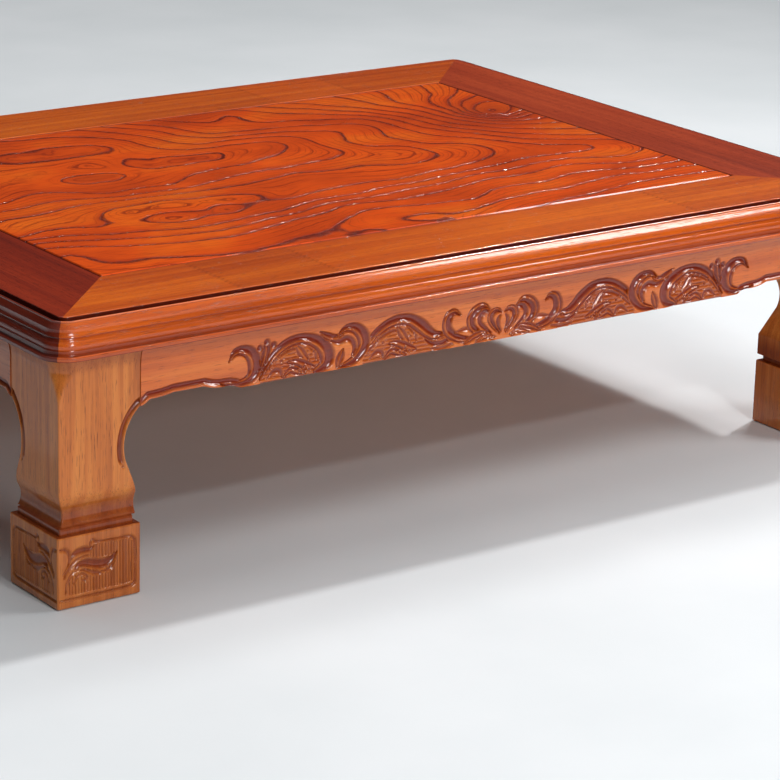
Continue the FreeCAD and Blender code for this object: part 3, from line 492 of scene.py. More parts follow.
# A leg's upright lines above the waist, as (inset from the foot's outer face, height).
OUTER_LINE = trace(((10, 90.5, -21), (9.5, 113, 51.25), (5, 134), (5, FLARE_BOTTOM, -FLARE_RADIUS),
                    (1.5, UNDERSIDE)))
INNER_LINE = np.concatenate((((102.5, 90.5), (102.5, 116)), neck_edge()[::-1],
                             ((LEG_TOP_WIDTH, UNDERSIDE),)))
FOOT_WIDTH = 103.0
FOOT_ROUNDING = 2.5
CORNER_POINTS = 6
PLAIN_POINTS = 12
CORNER_FLAT = 16.0
FLAT_BOTTOM = 236.5


def leg_levels():
    """Heights of the leg's rings with the outer and inner insets there, from the sole up."""
    foot = [(1.0, 1.2), (1.3, 0.5), (2.0, 0.0), (5.0, 0.0)]
    foot += [(height, 0.0) for height in np.arange(7, 76, 1.3)]
    foot += [(78.0, 0.0), (80.8, 0.0), (81.6, 0.4), (82.0, 1.2)]
    levels = [(height, inset, FOOT_WIDTH - inset) for height, inset in foot]
    levels += [(82, 6, 97), (85.5, 6, 97), (88.6, 6, 97), (89, 6.3, 97), (90, 9, 97), (90, 9, 102.1),
               (90.4, 9.7, 102.5)]
    upper = np.concatenate((np.arange(90.8, 226, 1.8), np.arange(226.5, UNDERSIDE, 1.7), (UNDERSIDE,)))
    for height in upper:
        levels.append((height, np.interp(height, OUTER_LINE[:, 1], OUTER_LINE[:, 0]),
                       np.interp(height, INNER_LINE[:, 1], INNER_LINE[:, 0])))
    return levels


ANKLE_BOTTOM = 90.0
LEAST_ROUNDING = 1.6
ARRIS_BOTTOM = 222.0
ARRIS_TOP = 261.0
ARRIS_ROUNDING = 22.0


def corner_rounding(height):
    """Rounding of the leg's outer upright arris, which grows fast towards the top."""
    share = min(max((height - ARRIS_BOTTOM) / (ARRIS_TOP - ARRIS_BOTTOM), 0), 1)
    return FOOT_ROUNDING if height < ANKLE_BOTTOM else LEAST_ROUNDING + ARRIS_ROUNDING * share ** 2


def leg_ring(height, outer, inner, face_points):
    """A leg's outline at a height, as insets from the foot's outer side and front faces.

    It starts at the front face's outer end and goes round by the inner corner.
    """
    rounding = corner_rounding(height)
    small = 0.5 if height > SHOULDER else 2.0
    inner_cut = CORNER_FLAT if height > FLAT_BOTTOM else small
    points = []

    def side(start, end, count):
        share = np.linspace(0, 1, count)[:, None]
        points.append(np.array(start) + share * (np.array(end) - np.array(start)))

    def corner(centre, radius, first, flat=False):
        angles = np.radians(first + np.linspace(0, 90, CORNER_POINTS + 2)[1:-1])
        bow = stacked(np.cos(angles), np.sin(angles))
        if flat:
            bow /= np.abs(bow).sum(axis=1, keepdims=True)
        points.append(np.array(centre) + radius * bow)

    side((outer + rounding, outer), (inner - small, outer), face_points)
    corner((inner - small, outer + small), small, -90)
    side((inner, outer + small), (inner, inner - inner_cut), PLAIN_POINTS)
    corner((inner - inner_cut, inner - inner_cut), inner_cut, 0, inner_cut > small)
    side((inner - inner_cut, inner), (outer + small, inner), PLAIN_POINTS)
    corner((outer + small, inner - small), small, 90)
    side((outer, inner - small), (outer, outer + rounding), face_points)
    corner((outer + rounding, outer + rounding), rounding, 180)
    return stacked(*np.concatenate(points).T, height)


# Carving of a foot's outer faces. Across is the inset from the foot's outer corner.
FOOT_GROUND = ((45, 68), (90, 67), (94, 63), (94.5, 18), (91, 15), (16, 15.5), (12, 19), (13, 27),
               (18, 36), (28, 40), (40, 44), (40, 60))
FOOT_GROUND_DEPTH = 1.9
FOOT_REED = 1.6
FOOT_PITCH = 3.7
FOOT_CUTS = (
    (1.9, gouge, ((3, 10.5, 3), (30, 10.5, 4), (60, 10.5, 4), (86, 11, 4), (93.5, 13, 4), (96, 19, 4),
                  (96, 58, 4), (94.5, 65, 4), (89, 68.5, 4), (66, 69.2, 4), (48, 70.5, 4),
                  (44.5, 73.5, 3.5), (41, 71.5, 3.5), (40, 66, 2.5))),
    (2.0, gouge, ((50, 38, 3), (58, 35.5, 6), (66, 38, 6), (71, 44, 2))),
    (2.0, gouge, ((28, 41, 3), (37, 40, 7), (46, 35.5, 8), (54, 33.5, 3))),
    (2.9, gouge, ((21, 42, 3), (28, 48, 9), (38, 48, 12), (48, 45, 13), (58, 44, 13), (67, 47, 9),
                  (74, 54, 2))),
    (2.6, gouge, ((16, 57, 4), (23, 62, 9), (32, 63.5, 10), (40, 63, 7), (45, 65, 2))),
    (1.9, gouge, ((3, 68.5, 4), (9.5, 68, 5), (13.5, 64, 5), (15, 57, 4), (13, 49, 3), (7, 40, 2))),
    (1.9, gouge, ((8, 36, 2), (14, 45, 4.5), (22, 52.5, 6), (31, 56, 4.5), (38, 57, 2))),
    (1.7, gouge, ((10, 18, 2), (11.5, 28, 3.5), (17, 38, 4.5), (25, 42, 2))),
    (1.9, gouge, ((20, 27, 2.5), (24, 34, 4), (31, 37, 4.5), (36.5, 33, 4.5), (34, 28, 4),
                  (29.5, 30.5, 3))),
)
# A drilled pit ends the flute on the neck.
PIT_ACROSS, PIT_HEIGHT = 84.0, 147.0
PIT_RADIUS = 2.4
PIT_DEPTH = 1.8


def leg_relief(across, up):
    """Depths cut in a leg's outer face: the carved foot, and the flute along the neck."""
    relief = Relief(across, up)
    relief.sink(FOOT_GROUND, FOOT_GROUND_DEPTH, FOOT_REED, FOOT_PITCH, upright=True)
    for depth, section, controls in FOOT_CUTS:
        relief.cut(controls, depth, section)
    relief.dimple(PIT_ACROSS, PIT_HEIGHT, PIT_RADIUS, PIT_DEPTH)
    # The flute grows above the pit and runs out just above the shoulder.
    along_neck = ease(up, PIT_HEIGHT, PIT_HEIGHT + 8) * (1 - ease(up, SHOULDER + 12, SHOULDER + 16))
    return np.maximum(relief.depth, edge_flute(across - LEG_TOP_WIDTH, up) * along_neck)


# How dark the painted shade is on the foot, in its cuts, in the waist above it and up the ankle.
FOOT_SHADE = 0.22
LEG_HOLLOW_SHADE = 0.9
WAIST_SHADE = 0.85
WAIST_LOW, WAIST_HIGH = 81.9, 90.2
ANKLE_SHADE = 0.75
ANKLE_LOW, ANKLE_HIGH = 97.0, 126.0


def leg_skin(face_points):
    """The leg as insets from the foot's outer faces, and the painted shade on its foot, waist, ankle and
    flare and in its hollows.
    """
    rings = np.array([leg_ring(*level, face_points) for level in leg_levels()])
    up = rings[:, :, 2]
    painted_shade = np.where(up > WAIST_LOW, ANKLE_SHADE * (1 - ease(up, ANKLE_LOW, ANKLE_HIGH)), FOOT_SHADE)
    painted_shade[(up > WAIST_LOW) & (up < WAIST_HIGH)] = WAIST_SHADE
    painted_shade = np.maximum(painted_shade, flare_shade(up))
    side_start = face_points + 3 * CORNER_POINTS + 2 * PLAIN_POINTS
    for first, along, inward in ((0, 0, 1), (side_start, 1, 0)):
        face = slice(first, first + face_points)
        depth = leg_relief(rings[:, face, along], rings[:, face, 2])
        rings[:, face, inward] += depth
        painted_shade[:, face] = np.maximum(painted_shade[:, face], LEG_HOLLOW_SHADE * hollow_shade(depth))
    return loft(rings), painted_shade


# Figured panel: levels of the growth rings along drawn lines, as (x, y) points.

FIGURE = (
    (7, ((-308, 212), (-267, 235), (-208, 237), (-158, 223), (-137, 202), (-158, 182), (-217, 172),
         (-283, 177))),
    (7, ((-177, 110), (-133, 110), (-75, 115), (-37, 110), (-43, 90), (-83, 80), (-133, 78), (-160, 88))),
    (7, ((-283, 79), (-262, 92), (-233, 88), (-197, 70), (-212, 57), (-242, 55), (-271, 62))),
    (6, ((-208, 288), (-150, 271), (-108, 232), (-95, 183), (-67, 143), (0, 137), (50, 132), (63, 107),
         (42, 78), (-17, 50), (-92, 40), (-146, 17), (-183, -4), (-267, 0), (-329, 40), (-404, 18))),
    (5, ((-125, 302), (-83, 254), (-58, 192), (-25, 158), (42, 157), (88, 142), (102, 92), (105, 42),
         (67, 12), (-17, 0), (-100, -7), (-200, -23), (-308, -5), (-421, -13))),
    (4, ((-88, 302), (-43, 258), (-12, 196), (33, 179), (108, 162), (160, 132), (142, 83), (150, 46),
         (196, 21), (205, -21), (179, -52), (83, -35), (-17, -27), (-117, -45), (-267, -37), (-433, -47))),
    (3, ((-54, 302), (-21, 271), (4, 208), (67, 192), (150, 179), (204, 158), (220, 129), (202, 75),
         (221, 23), (262, 0), (279, -50))),
    (2, ((-4, 298), (88, 285), (110, 221), (175, 200), (233, 175), (248, 125), (252, 75), (304, 8),
         (342, -50), (400, -83))),
    (1, ((67, 307), (133, 283), (192, 232), (250, 188), (273, 117), (296, 58), (358, -25), (442, -75))),
    (0, ((154, 304), (200, 267), (250, 217), (285, 167), (298, 100), (342, 33), (433, -42))),
    (-1, ((200, 304), (242, 262), (283, 208), (310, 158), (321, 100), (367, 42), (446, -4))),
    (-2, ((283, 300), (296, 258), (321, 200), (335, 150), (346, 100), (383, 58), (450, 33))),
    (-3, ((342, 271), (333, 233), (350, 175), (358, 117), (392, 75), (452, 62))),
    (-4, ((400, 246), (372, 208), (368, 160), (378, 110), (400, 88), (450, 90))),
    (-8, ((408, 118),)),
    (3, ((-329, -88), (-292, -65), (-233, -60), (-167, -73), (-108, -98), (-133, -117), (-200, -125),
         (-283, -118))),
    (3, ((-454, -125), (-358, -130), (-267, -155), (-167, -145), (-67, -125), (0, -112), (83, -118),
         (171, -103))),
    (2, ((-450, -138), (-350, -165), (-250, -188), (-133, -173), (-17, -152), (108, -138), (233, -120),
         (333, -113))),
    (1, ((-450, -155), (-350, -188), (-267, -208), (-167, -197), (-58, -171), (67, -162), (192, -145),
         (333, -135), (442, -150))),
    (0, ((-450, -182), (-367, -217), (-283, -237), (-200, -232), (-133, -212), (-33, -188), (108, -188),
         (175, -171), (283, -162), (400, -192))),
    (-1, ((383, -217), (342, -208), (233, -217), (108, -243), (17, -232), (-67, -233), (-107, -258),
          (-98, -292), (-67, -308))),
    (-2, ((417, -242), (342, -238), (200, -255), (117, -265), (17, -268), (-30, -277), (0, -296),
          (25, -307))),
    (-1, ((-446, -217), (-429, -267), (-367, -277), (-325, -293), (-267, -305))),
    (7.1, ((-221, 204),)),
    (7.4, ((-150, 97), (-108, 96), (-70, 97), (-265, 75), (-240, 73), (-215, 72))),
    (6.5, ((-208, 146), (-187, 89), (-196, 114), (-325, 92), (-192, 33), (-17, 83), (-242, 265),
           (-283, 125), (-400, 60), (-420, 230))),
    (2.7, ((-221, -92), (-150, -97), (-290, -90))),
    (3.35, ((-88, -112), (-180, -136), (-260, -138), (-392, -85), (-58, -88))),
)
FIGURE_STIFFNESS = 0.02
# The plate is solved in decimetres, so that its numbers stay of one size.
PLATE_UNIT = 100.0
# Least and greatest distance from one ring level to the next that the material reads.
SPACING_LOW, SPACING_HIGH = 4.0, 70.0


def plate_bend(gap):
    """How a thin plate bends at a distance from a load."""
    return np.where(gap > 0, gap ** 2 * np.log(np.maximum(gap, 1e-9)), 0.0)


def figure_levels(spots):
    """Ring level at each spot: a thin plate bent through the drawn lines."""
    anchors = np.array([point for _, line in FIGURE for point in line], float) / PLATE_UNIT
    levels = np.array([level for level, line in FIGURE for _ in line], float)
    count = len(anchors)
    gaps = np.linalg.norm(anchors[:, None] - anchors[None], axis=-1)
    plane = np.column_stack((np.ones(count), anchors))
    system = np.block([[plate_bend(gaps) + FIGURE_STIFFNESS * np.eye(count), plane],
                       [plane.T, np.zeros((3, 3))]])
    weights = np.linalg.solve(system, np.concatenate((levels, np.zeros(3))))
    places = spots / PLATE_UNIT
    result = weights[count] + places @ weights[count + 1:]
    for anchor, weight in zip(anchors, weights[:count]):
        result += weight * plate_bend(np.linalg.norm(places - anchor, axis=1))
    return result


def figure_spacing(spots, levels, reach=2.0):
    """Millimetres from one ring level to the next at each spot."""
    slopes = [(figure_levels(spots + reach * np.eye(2)[axis]) - levels) / reach for axis in range(2)]
    return np.clip(1 / np.maximum(np.hypot(*slopes), 1e-6), SPACING_LOW, SPACING_HIGH)


def with_edges(half, step):
    """Evenly spaced places from -half to half, with one more at each chamfer."""
    inner = half - PANEL_CHAMFER
    return np.concatenate(((-half,), np.linspace(-inner, inner, int(2 * inner / step)), (half,)))


PANEL_STEP = 4.6


def panel_skin():
    """The panel as strips across it, each with its chamfers and its underside."""
    along = with_edges(PANEL_X, PANEL_STEP)
    across = with_edges(PANEL_Y, PANEL_STEP)
    x, y = np.meshgrid(along, across, indexing="ij")
    edge_gap = np.minimum(PANEL_X - np.abs(x), PANEL_Y - np.abs(y))
    top = TABLE_TOP - CHAMFER_SLOPE * np.clip(PANEL_CHAMFER - edge_gap, 0, None)
    low = TABLE_TOP - PANEL_THICKNESS
    under = np.stack([stacked(along, edge, low) for edge in (PANEL_Y, -PANEL_Y)], axis=1)
    return loft(np.concatenate((stacked(x, y, top), under), axis=1))


# Materials

def paint(red, green, blue):
    """A colour as it shows on a screen, 0 to 255, in the shader's own scale."""
    def linear(value):
        share = value / 255
        return share / 12.92 if share <= 0.04045 else ((share + 0.055) / 1.055) ** 2.4
    return linear(red), linear(green), linear(blue), 1.0


# Sockets of a Mix node that mixes colours.
MIX_A, MIX_B, MIX_COLOUR = 6, 7, 2
# Shine of a surface itself, under its clear coat.
BARE_SHINE = 0.1
# Which coordinate runs along the grain, and one that runs across it.
GRAIN = {"X": (0, 1), "Y": (1, 0), "Z": (2, 0)}


def fill_ramp(ramp, stops):
    """Give a colour ramp its (position, colour) stops."""
    while len(ramp.elements) < len(stops):
        ramp.elements.new(0.5)
    for element, (position, colour) in zip(ramp.elements, stops):
        element.position = position
        element.color = colour


class Finish:
    """A material with short ways to add nodes. Object coordinates are the table's own, in metres."""

    def __init__(self, name):
        self.material = bpy.data.materials.new(name)
        self.material.use_nodes = True
        self.tree = self.material.node_tree
        self.shader = self.tree.nodes["Principled BSDF"]
        self.place = self.add("TexCoord")["Object"]
        self.colour = None

    def fill(self, node, inputs):
        """Set a node's inputs, from other nodes or to plain values."""
        for key, value in inputs.items():
            if isinstance(value, bpy.types.NodeSocket):
                self.tree.links.new(value, node.inputs[key])
            else:
                node.inputs[key].default_value = value

    def add(self, kind, inputs=None, **settings):
        node = self.tree.nodes.new("ShaderNode" + kind)
        for name, value in settings.items():
            setattr(node, name, value)
        self.fill(node, inputs or {})
        return node.outputs

    def math(self, operation, first, second=0.0, clamp=False):
        return self.add("Math", {0: first, 1: second}, operation=operation, use_clamp=clamp)[0]

    def scaled(self, value, factor, offset=0.0):
        """A value times a factor, plus an offset."""
        product = self.math("MULTIPLY", value, factor)
        return self.math("ADD", product, offset) if offset else product

    def attribute(self, name):
        return self.add("Attribute", attribute_name=name)["Fac"]

    def noise(self, scale, detail=2.0, roughness=0.5, vector=None):
        """Noise at the table's own coordinates, if no others are given."""
        vector = self.place if vector is None else vector
        return self.add("TexNoise", {"Vector": vector, "Scale": scale, "Detail": detail,
                                     "Roughness": roughness})[0]

    def streaks(self, axis, along, across, detail=2.0, roughness=0.5, vector=None):
        """Noise with one scale along the grain and another across it."""
        scales = [across] * 3
        scales[GRAIN[axis][0]] = along
        vector = self.place if vector is None else vector
        drawn_out = self.add("Mapping", {"Vector": vector, "Scale": scales})[0]
        return self.noise(1.0, detail, roughness, drawn_out)

    def ramp(self, value, stops):
        """Colours by value: stops are (value, colour) pairs."""
        node = self.tree.nodes.new("ShaderNodeValToRGB")
        fill_ramp(node.color_ramp, stops)
        self.fill(node, {0: value})
        return node.outputs[0]

    def step(self, value, low, high):
        """0 up to low and 1 from high, smooth between. The other way round if low is the greater one."""
        return self.add("MapRange", {"Value": value, "From Min": low, "From Max": high},
                        interpolation_type="SMOOTHSTEP")[0]

    def lay(self, amount, colour, weight=1.0, blend_type="MIX"):
        """Lay a colour over the one so far, by an amount from 0 to 1 times a weight."""
        inputs = {0: self.scaled(amount, weight), MIX_A: self.colour, MIX_B: colour}
        self.colour = self.add("Mix", inputs, data_type="RGBA", blend_type=blend_type)[MIX_COLOUR]

    def split(self):
        return self.add("SeparateXYZ", {0: self.place})

    def depth(self):
        """Metres below the table top."""
        return self.math("SUBTRACT", TABLE_TOP * MM, self.split()["Z"])

    def lacquer(self, roughness, height, bump_mm, coat=0.0, coat_roughness=0.1):
        """Set the shader: the colour so far, roughness, a bump of some millimetres, and a clear coat."""
        bump = self.add("Bump", {"Height": height, "Distance": bump_mm * MM, "Strength": 1.0})[0]
        self.fill(self.shader, {"Base Color": self.colour, "Roughness": roughness, "Normal": bump,
                                "Coat Normal": bump, "Coat Weight": coat, "Coat Roughness": coat_roughness,
                                "Specular IOR Level": BARE_SHINE})
        return self.material


# Painted shade: the tint laid over the wood in hollows, creases and under the moulding, and the colour of
# the shade painted in the groove beside the rails.
SHADE_TINT = (0.31, 0.095, 0.03, 1.0)
GROOVE_SHADE_COLOUR = paint(86, 24, 10)
# Metres below the table top down to which the sides of rails and panel are painted dark, as shade in the
# groove.
SHADED_SIDE_DEPTH = 0.012
# Metres over which growth lines sway to the side.
SWAY = 0.012
# Finger joints, in metres: pitch and slope of the fingers, and the dark seam along them.
FINGER_PITCH = 0.004
FINGER_SLOPE = 1.6
SEAM_CORE = 0.0004
SEAM_REACH = 0.0016
SEAM_STRENGTH = 0.55
# Tints of the boards past the joints, by turns.
BOARD_TINTS = ((0.9, 0.873, 0.855, 1.0), (1.1, 1.09, 1.07, 1.0))


def join_boards(wood, axis, joints, pore):
    """Boards joined end to end: a change of tone and a zigzag seam at each joint."""
    run, cross = (wood.split()[index] for index in GRAIN[axis])
    zigzag = wood.scaled(wood.math("PINGPONG", cross, FINGER_PITCH), FINGER_SLOPE)
    place = wood.math("ADD", run, zigzag)
    for index, joint in enumerate(joints):
        past = wood.step(place, joint - SEAM_CORE, joint + SEAM_CORE)
        wood.lay(past, BOARD_TINTS[index % 2], blend_type="MULTIPLY")
        gap = wood.math("ABSOLUTE", wood.math("SUBTRACT", place, joint))
        wood.lay(wood.step(gap, SEAM_REACH, SEAM_CORE), pore, SEAM_STRENGTH)


def straight_wood(name, axis, colours, coat=1.0, coat_roughness=0.09, joints=(), shaded_sides=False,
                  pore_mm=0.05):
    """Lacquered straight-grained wood: broad tone, growth lines and short pores along the grain.

    joints are the places along the grain, in metres, where one board ends and the next begins. shaded_sides
    paints shade on the sides of a rail just below the table top, where they line a groove.
    """
    wood = Finish(name)
    light, middle, dark, pore = (paint(*colour) for colour in colours)
    shift = wood.scaled(wood.streaks(axis, 2.2, 7.0), SWAY, -SWAY / 2)
    sideways = {index: shift for index in range(3) if index != GRAIN[axis][0]}
    moves = {0: wood.place, 1: wood.add("CombineXYZ", sideways)[0]}
    swayed = wood.add("VectorMath", moves, operation="ADD")[0]
    lines = wood.streaks(axis, 1.6, 75.0, 4.0, 0.62, swayed)
    fine = wood.streaks(axis, 5.0, 420.0, vector=swayed)
    broad = wood.streaks(axis, 1.8, 9.0, 3.0)
    tone = wood.math("ADD", wood.scaled(lines, 0.55), wood.scaled(broad, 0.45))
    wood.colour = wood.ramp(tone, ((0.32, dark), (0.47, middle), (0.62, light)))
    wood.lay(wood.step(fine, 0.48, 0.72), dark, 0.35)
    pores = wood.step(wood.streaks(axis, 55.0, 1500.0, 1.0), 0.62, 0.7)
    wood.lay(pores, pore, 0.6)
    if joints:
        join_boards(wood, axis, joints, pore)
    # Painted shade on the rail sides, in the groove beside the moulding.
    if shaded_sides:
        below = wood.depth()
        shaded_band = wood.math("LESS_THAN", below, SHADED_SIDE_DEPTH)
        wood.lay(wood.step(below, 0.0004, 0.001), GROOVE_SHADE_COLOUR, shaded_band)
    # Painted shade from each vertex's shade value, in hollows, creases and under the moulding.
    wood.lay(wood.attribute("painted_shade"), SHADE_TINT, blend_type="MULTIPLY")
    height = wood.math("SUBTRACT", wood.scaled(lines, 0.35), pores)
    return wood.lacquer(wood.scaled(fine, 0.14, 0.3), height, pore_mm, coat, coat_roughness)


# Ring lines of the panel, in millimetres: half width, softness, how far the wood past a line stays rusty,
# how far a line wanders and frays, and how deep its open pores are.
LINE_HALF = 1.7
LINE_SOFT = 1.0
RING_FADE = 8.0
WANDER = 9.0
FRAY = 2.4
RING_BUMP = 0.8
PANEL_GLOSS = 0.07
# Fine lines between the ring lines: how many to a ring, and how strong.
THREADS = ((4.0, 0.8), (11.0, 0.6))
# Ring levels between which the heart of a loop turns to rust.
HEART_LOW, HEART_HIGH = 7.1, 7.3
# Middle of the knot in the far corner, and the radii between which its tone fades, in metres.
KNOT_SPOT = (0.408, 0.11, TABLE_TOP * MM)
KNOT_CORE, KNOT_REACH = 0.02, 0.13


def figured_wood(name):
    """The panel's wood: growth rings that show as loops and long waves, over red-orange wood."""
    wood = Finish(name)
    pore, dark, rust = paint(96, 18, 5), paint(126, 30, 6), paint(170, 48, 8)
    orange, bright = paint(240, 88, 9), paint(247, 111, 18)
    spacing = wood.attribute("ring_spacing")
    wander = wood.scaled(wood.noise(26.0), WANDER, -WANDER / 2)
    fray = wood.scaled(wood.noise(160.0), FRAY, -FRAY / 2)
    drift = wood.math("DIVIDE", wood.math("ADD", wander, fray), spacing)
    level = wood.math("ADD", wood.attribute("ring_level"), drift)
    phase = wood.math("FRACT", level)
    thickness = wood.scaled(wood.noise(17.0), 1.7, 0.25)
    past, ahead = (wood.math("DIVIDE", wood.scaled(share, spacing), thickness)
                   for share in (phase, wood.math("SUBTRACT", 1.0, phase)))
    patch = wood.streaks("X", 5.0, 9.0, 3.0)
    wood.colour = wood.ramp(patch, ((0.32, paint(204, 70, 9)), (0.5, orange), (0.68, bright)))
    wood.lay(wood.step(phase, 0.75, 0.1), paint(190, 58, 8), 0.2)
    presence = wood.step(wood.noise(8.0), 0.3, 0.54)
    for count, strength in THREADS:
        thread = wood.math("FRACT", wood.scaled(level, count))
        thread = wood.scaled(wood.step(thread, 0.2, 0.04), presence)
        wood.lay(thread, paint(136, 34, 6), strength)
    fibre = wood.streaks("X", 26.0, 300.0)
    wood.lay(wood.step(fibre, 0.46, 0.7), rust, 0.4)
    wood.lay(wood.step(past, RING_FADE, LINE_HALF), rust, 0.6)
    nearest = wood.math("MINIMUM", past, ahead)
    line = wood.step(nearest, LINE_HALF + LINE_SOFT, LINE_HALF - LINE_SOFT)
    speck = wood.step(wood.noise(420.0, 1.0), 0.44, 0.58)
    strength = wood.math("ADD", wood.scaled(wood.noise(11.0), 0.7), 0.5, clamp=True)
    wood.lay(line, wood.ramp(speck, ((0.0, dark), (1.0, pore))), strength)
    wood.lay(wood.step(level, HEART_LOW, HEART_HIGH), rust, 0.45)
    away = wood.add("VectorMath", {0: wood.place, 1: KNOT_SPOT}, operation="DISTANCE")["Value"]
    wood.lay(wood.step(away, KNOT_REACH, KNOT_CORE), paint(150, 44, 16), 0.5)
    below = wood.depth()
    # Painted shade on the chamfer and sides, in the groove between panel and frame.
    wood.lay(wood.step(below, 0.0003, 0.0018), pore)
    plain = wood.ramp(fibre, ((0.3, paint(150, 92, 52)), (0.7, paint(186, 124, 74))))
    wood.lay(wood.math("GREATER_THAN", below, SHADED_SIDE_DEPTH), plain)
    pits = wood.scaled(line, wood.scaled(speck, 0.85, 0.15))
    height = wood.math("SUBTRACT", wood.scaled(fibre, 0.06), pits)
    return wood.lacquer(wood.scaled(patch, 0.1, 0.24), height, RING_BUMP, 1.0, PANEL_GLOSS)


def zinc_steel(name):
    metal = Finish(name)
    drawn = metal.streaks("Z", 40.0, 900.0)
    spangle = metal.noise(260.0, 3.0)
    metal.colour = metal.ramp(spangle, ((0.35, paint(150, 152, 156)), (0.65, paint(196, 198, 200))))
    metal.fill(metal.shader, {"Metallic": 1.0})
    return metal.lacquer(metal.scaled(drawn, 0.25, 0.25), drawn, 0.02)


def felt(name):
    cloth = Finish(name)
    fibres = cloth.noise(1400.0, 4.0, 0.7)
    tufts = cloth.noise(160.0, 3.0)
    blend = cloth.math("ADD", cloth.scaled(fibres, 0.6), cloth.scaled(tufts, 0.4))
    cloth.colour = cloth.ramp(blend, ((0.35, paint(66, 44, 34)), (0.65, paint(104, 76, 58))))
    cloth.fill(cloth.shader, {"Sheen Weight": 0.3})
    return cloth.lacquer(cloth.scaled(tufts, 0.1, 0.85), fibres, 0.4)


# Light, middle and dark wood and the pores, as they show on a screen.
RAIL_COLOURS = ((234, 114, 23), (206, 88, 16), (174, 63, 11), (110, 32, 7))
# The left rail is a darker copy of the rail wood: painted shade of the side away from the light.
SHADED_LEFT_RAIL_COLOURS = ((152, 46, 16), (132, 35, 11), (106, 24, 8), (66, 15, 6))
# The right rail is a lighter copy of the rail wood: painted reflection of a pale background.
REFLECTING_RIGHT_RAIL_COLOURS = ((186, 72, 34), (164, 57, 25), (134, 42, 18), (86, 26, 12))
MOULDING_COLOURS = ((226, 112, 26), (208, 91, 18), (166, 62, 12), (106, 34, 9))
APRON_COLOURS = ((216, 116, 42), (201, 96, 29), (169, 70, 19), (110, 38, 12))
# End mouldings and end aprons are darker copies of the long ones: painted shade of the ends away from the
# light.
SHADED_END_MOULDING_COLOURS = ((128, 42, 17), (110, 33, 13), (86, 23, 9), (56, 14, 6))
SHADED_END_APRON_COLOURS = ((184, 98, 42), (170, 82, 31), (142, 60, 20), (94, 32, 11))
LEG_COLOURS = ((218, 136, 64), (194, 108, 45), (150, 72, 26), (80, 34, 12))
INNER_COLOURS = ((206, 160, 108), (188, 138, 88), (158, 108, 64), (112, 72, 40))

# Roughness of the lacquer on carved pieces and on the mouldings.
CRISP = 0.05
SATIN = 0.11
# Depth of the pores in the long rails, in millimetres.
OPEN_PORES = 0.16

panel_wood = figured_wood("panel_wood")
front_rail_wood = straight_wood("front_rail_wood", "X", RAIL_COLOURS, joints=(-0.348, -0.217, 0.306),
                                shaded_sides=True, pore_mm=OPEN_PORES)
back_rail_wood = straight_wood("back_rail_wood", "X", RAIL_COLOURS, joints=(-0.3, 0.192, 0.325),
                               shaded_sides=True, pore_mm=OPEN_PORES)
shaded_left_rail_wood = straight_wood("shaded_left_rail_wood", "Y", SHADED_LEFT_RAIL_COLOURS, shaded_sides=True)
reflecting_right_rail_wood = straight_wood("reflecting_right_rail_wood", "Y", REFLECTING_RIGHT_RAIL_COLOURS, shaded_sides=True)
long_moulding_wood = straight_wood("long_moulding_wood", "X", MOULDING_COLOURS, coat_roughness=SATIN)
shaded_short_moulding_wood = straight_wood("shaded_short_moulding_wood", "Y", SHADED_END_MOULDING_COLOURS, coat_roughness=SATIN)
long_apron_wood = straight_wood("long_apron_wood", "X", APRON_COLOURS, coat_roughness=CRISP)
shaded_short_apron_wood = straight_wood("shaded_short_apron_wood", "Y", SHADED_END_APRON_COLOURS, coat_roughness=CRISP)
leg_wood = straight_wood("leg_wood", "Z", LEG_COLOURS, coat=0.7, coat_roughness=CRISP)
batten_wood = straight_wood("batten_wood", "Y", INNER_COLOURS, coat=0.0)
block_wood = straight_wood("block_wood", "X", INNER_COLOURS, coat=0.0)
steel = zinc_steel("zinc_steel")
pad_felt = felt("brown_felt")


# Pieces

def turned(skin, side):
    vertices, sides, ends = skin
    return vertices @ SIDES[side].T, sides, ends


def cornered(skin, sign_x, sign_y):
    """A leg's insets set out at one corner of the table."""
    insets, sides, ends = skin
    reach = np.array((FOOT_X, FOOT_Y, 0)) - insets * np.array((1, 1, -1))
    return reach * np.array((sign_x, sign_y, 1)), sides, ends


panel = make_piece("figured_panel", "top_panel", panel_skin(), panel_wood, sharp_degrees=25)
spots = np.array([vertex.co[:2] for vertex in panel.data.vertices]) / MM
ring_level = figure_levels(spots)
give_values(panel, "ring_level", ring_level)
give_values(panel, "ring_spacing", figure_spacing(spots, ring_level))

# The front apron and the front left leg are the nearest to the camera, and have the finest mesh.
FINE_STEP = 1.0
COARSE_STEP = 1.5
for side in SIDES:
    is_long = side in ("front", "back")
    step = FINE_STEP if side == "front" else COARSE_STEP
    if is_long:
        moulding, moulding_shade = moulding_skin(FRAME_X, FRAME_Y)
        apron, apron_shade = apron_skin(SEAM_X, APRON_Y, step, short=False)
    else:
        moulding, moulding_shade = moulding_skin(FRAME_Y, FRAME_X)
        apron, apron_shade = apron_skin(SEAM_Y, APRON_X, step, short=True)
    piece = make_piece(f"{side}_moulding", f"{side}_edge_moulding", turned(moulding, side),
                       long_moulding_wood if is_long else shaded_short_moulding_wood)
    give_values(piece, "painted_shade", moulding_shade)
    piece = make_piece(f"{side}_carved_apron", f"{side}_apron", turned(apron, side),
                       long_apron_wood if is_long else shaded_short_apron_wood)
    give_values(piece, "painted_shade", apron_shade)

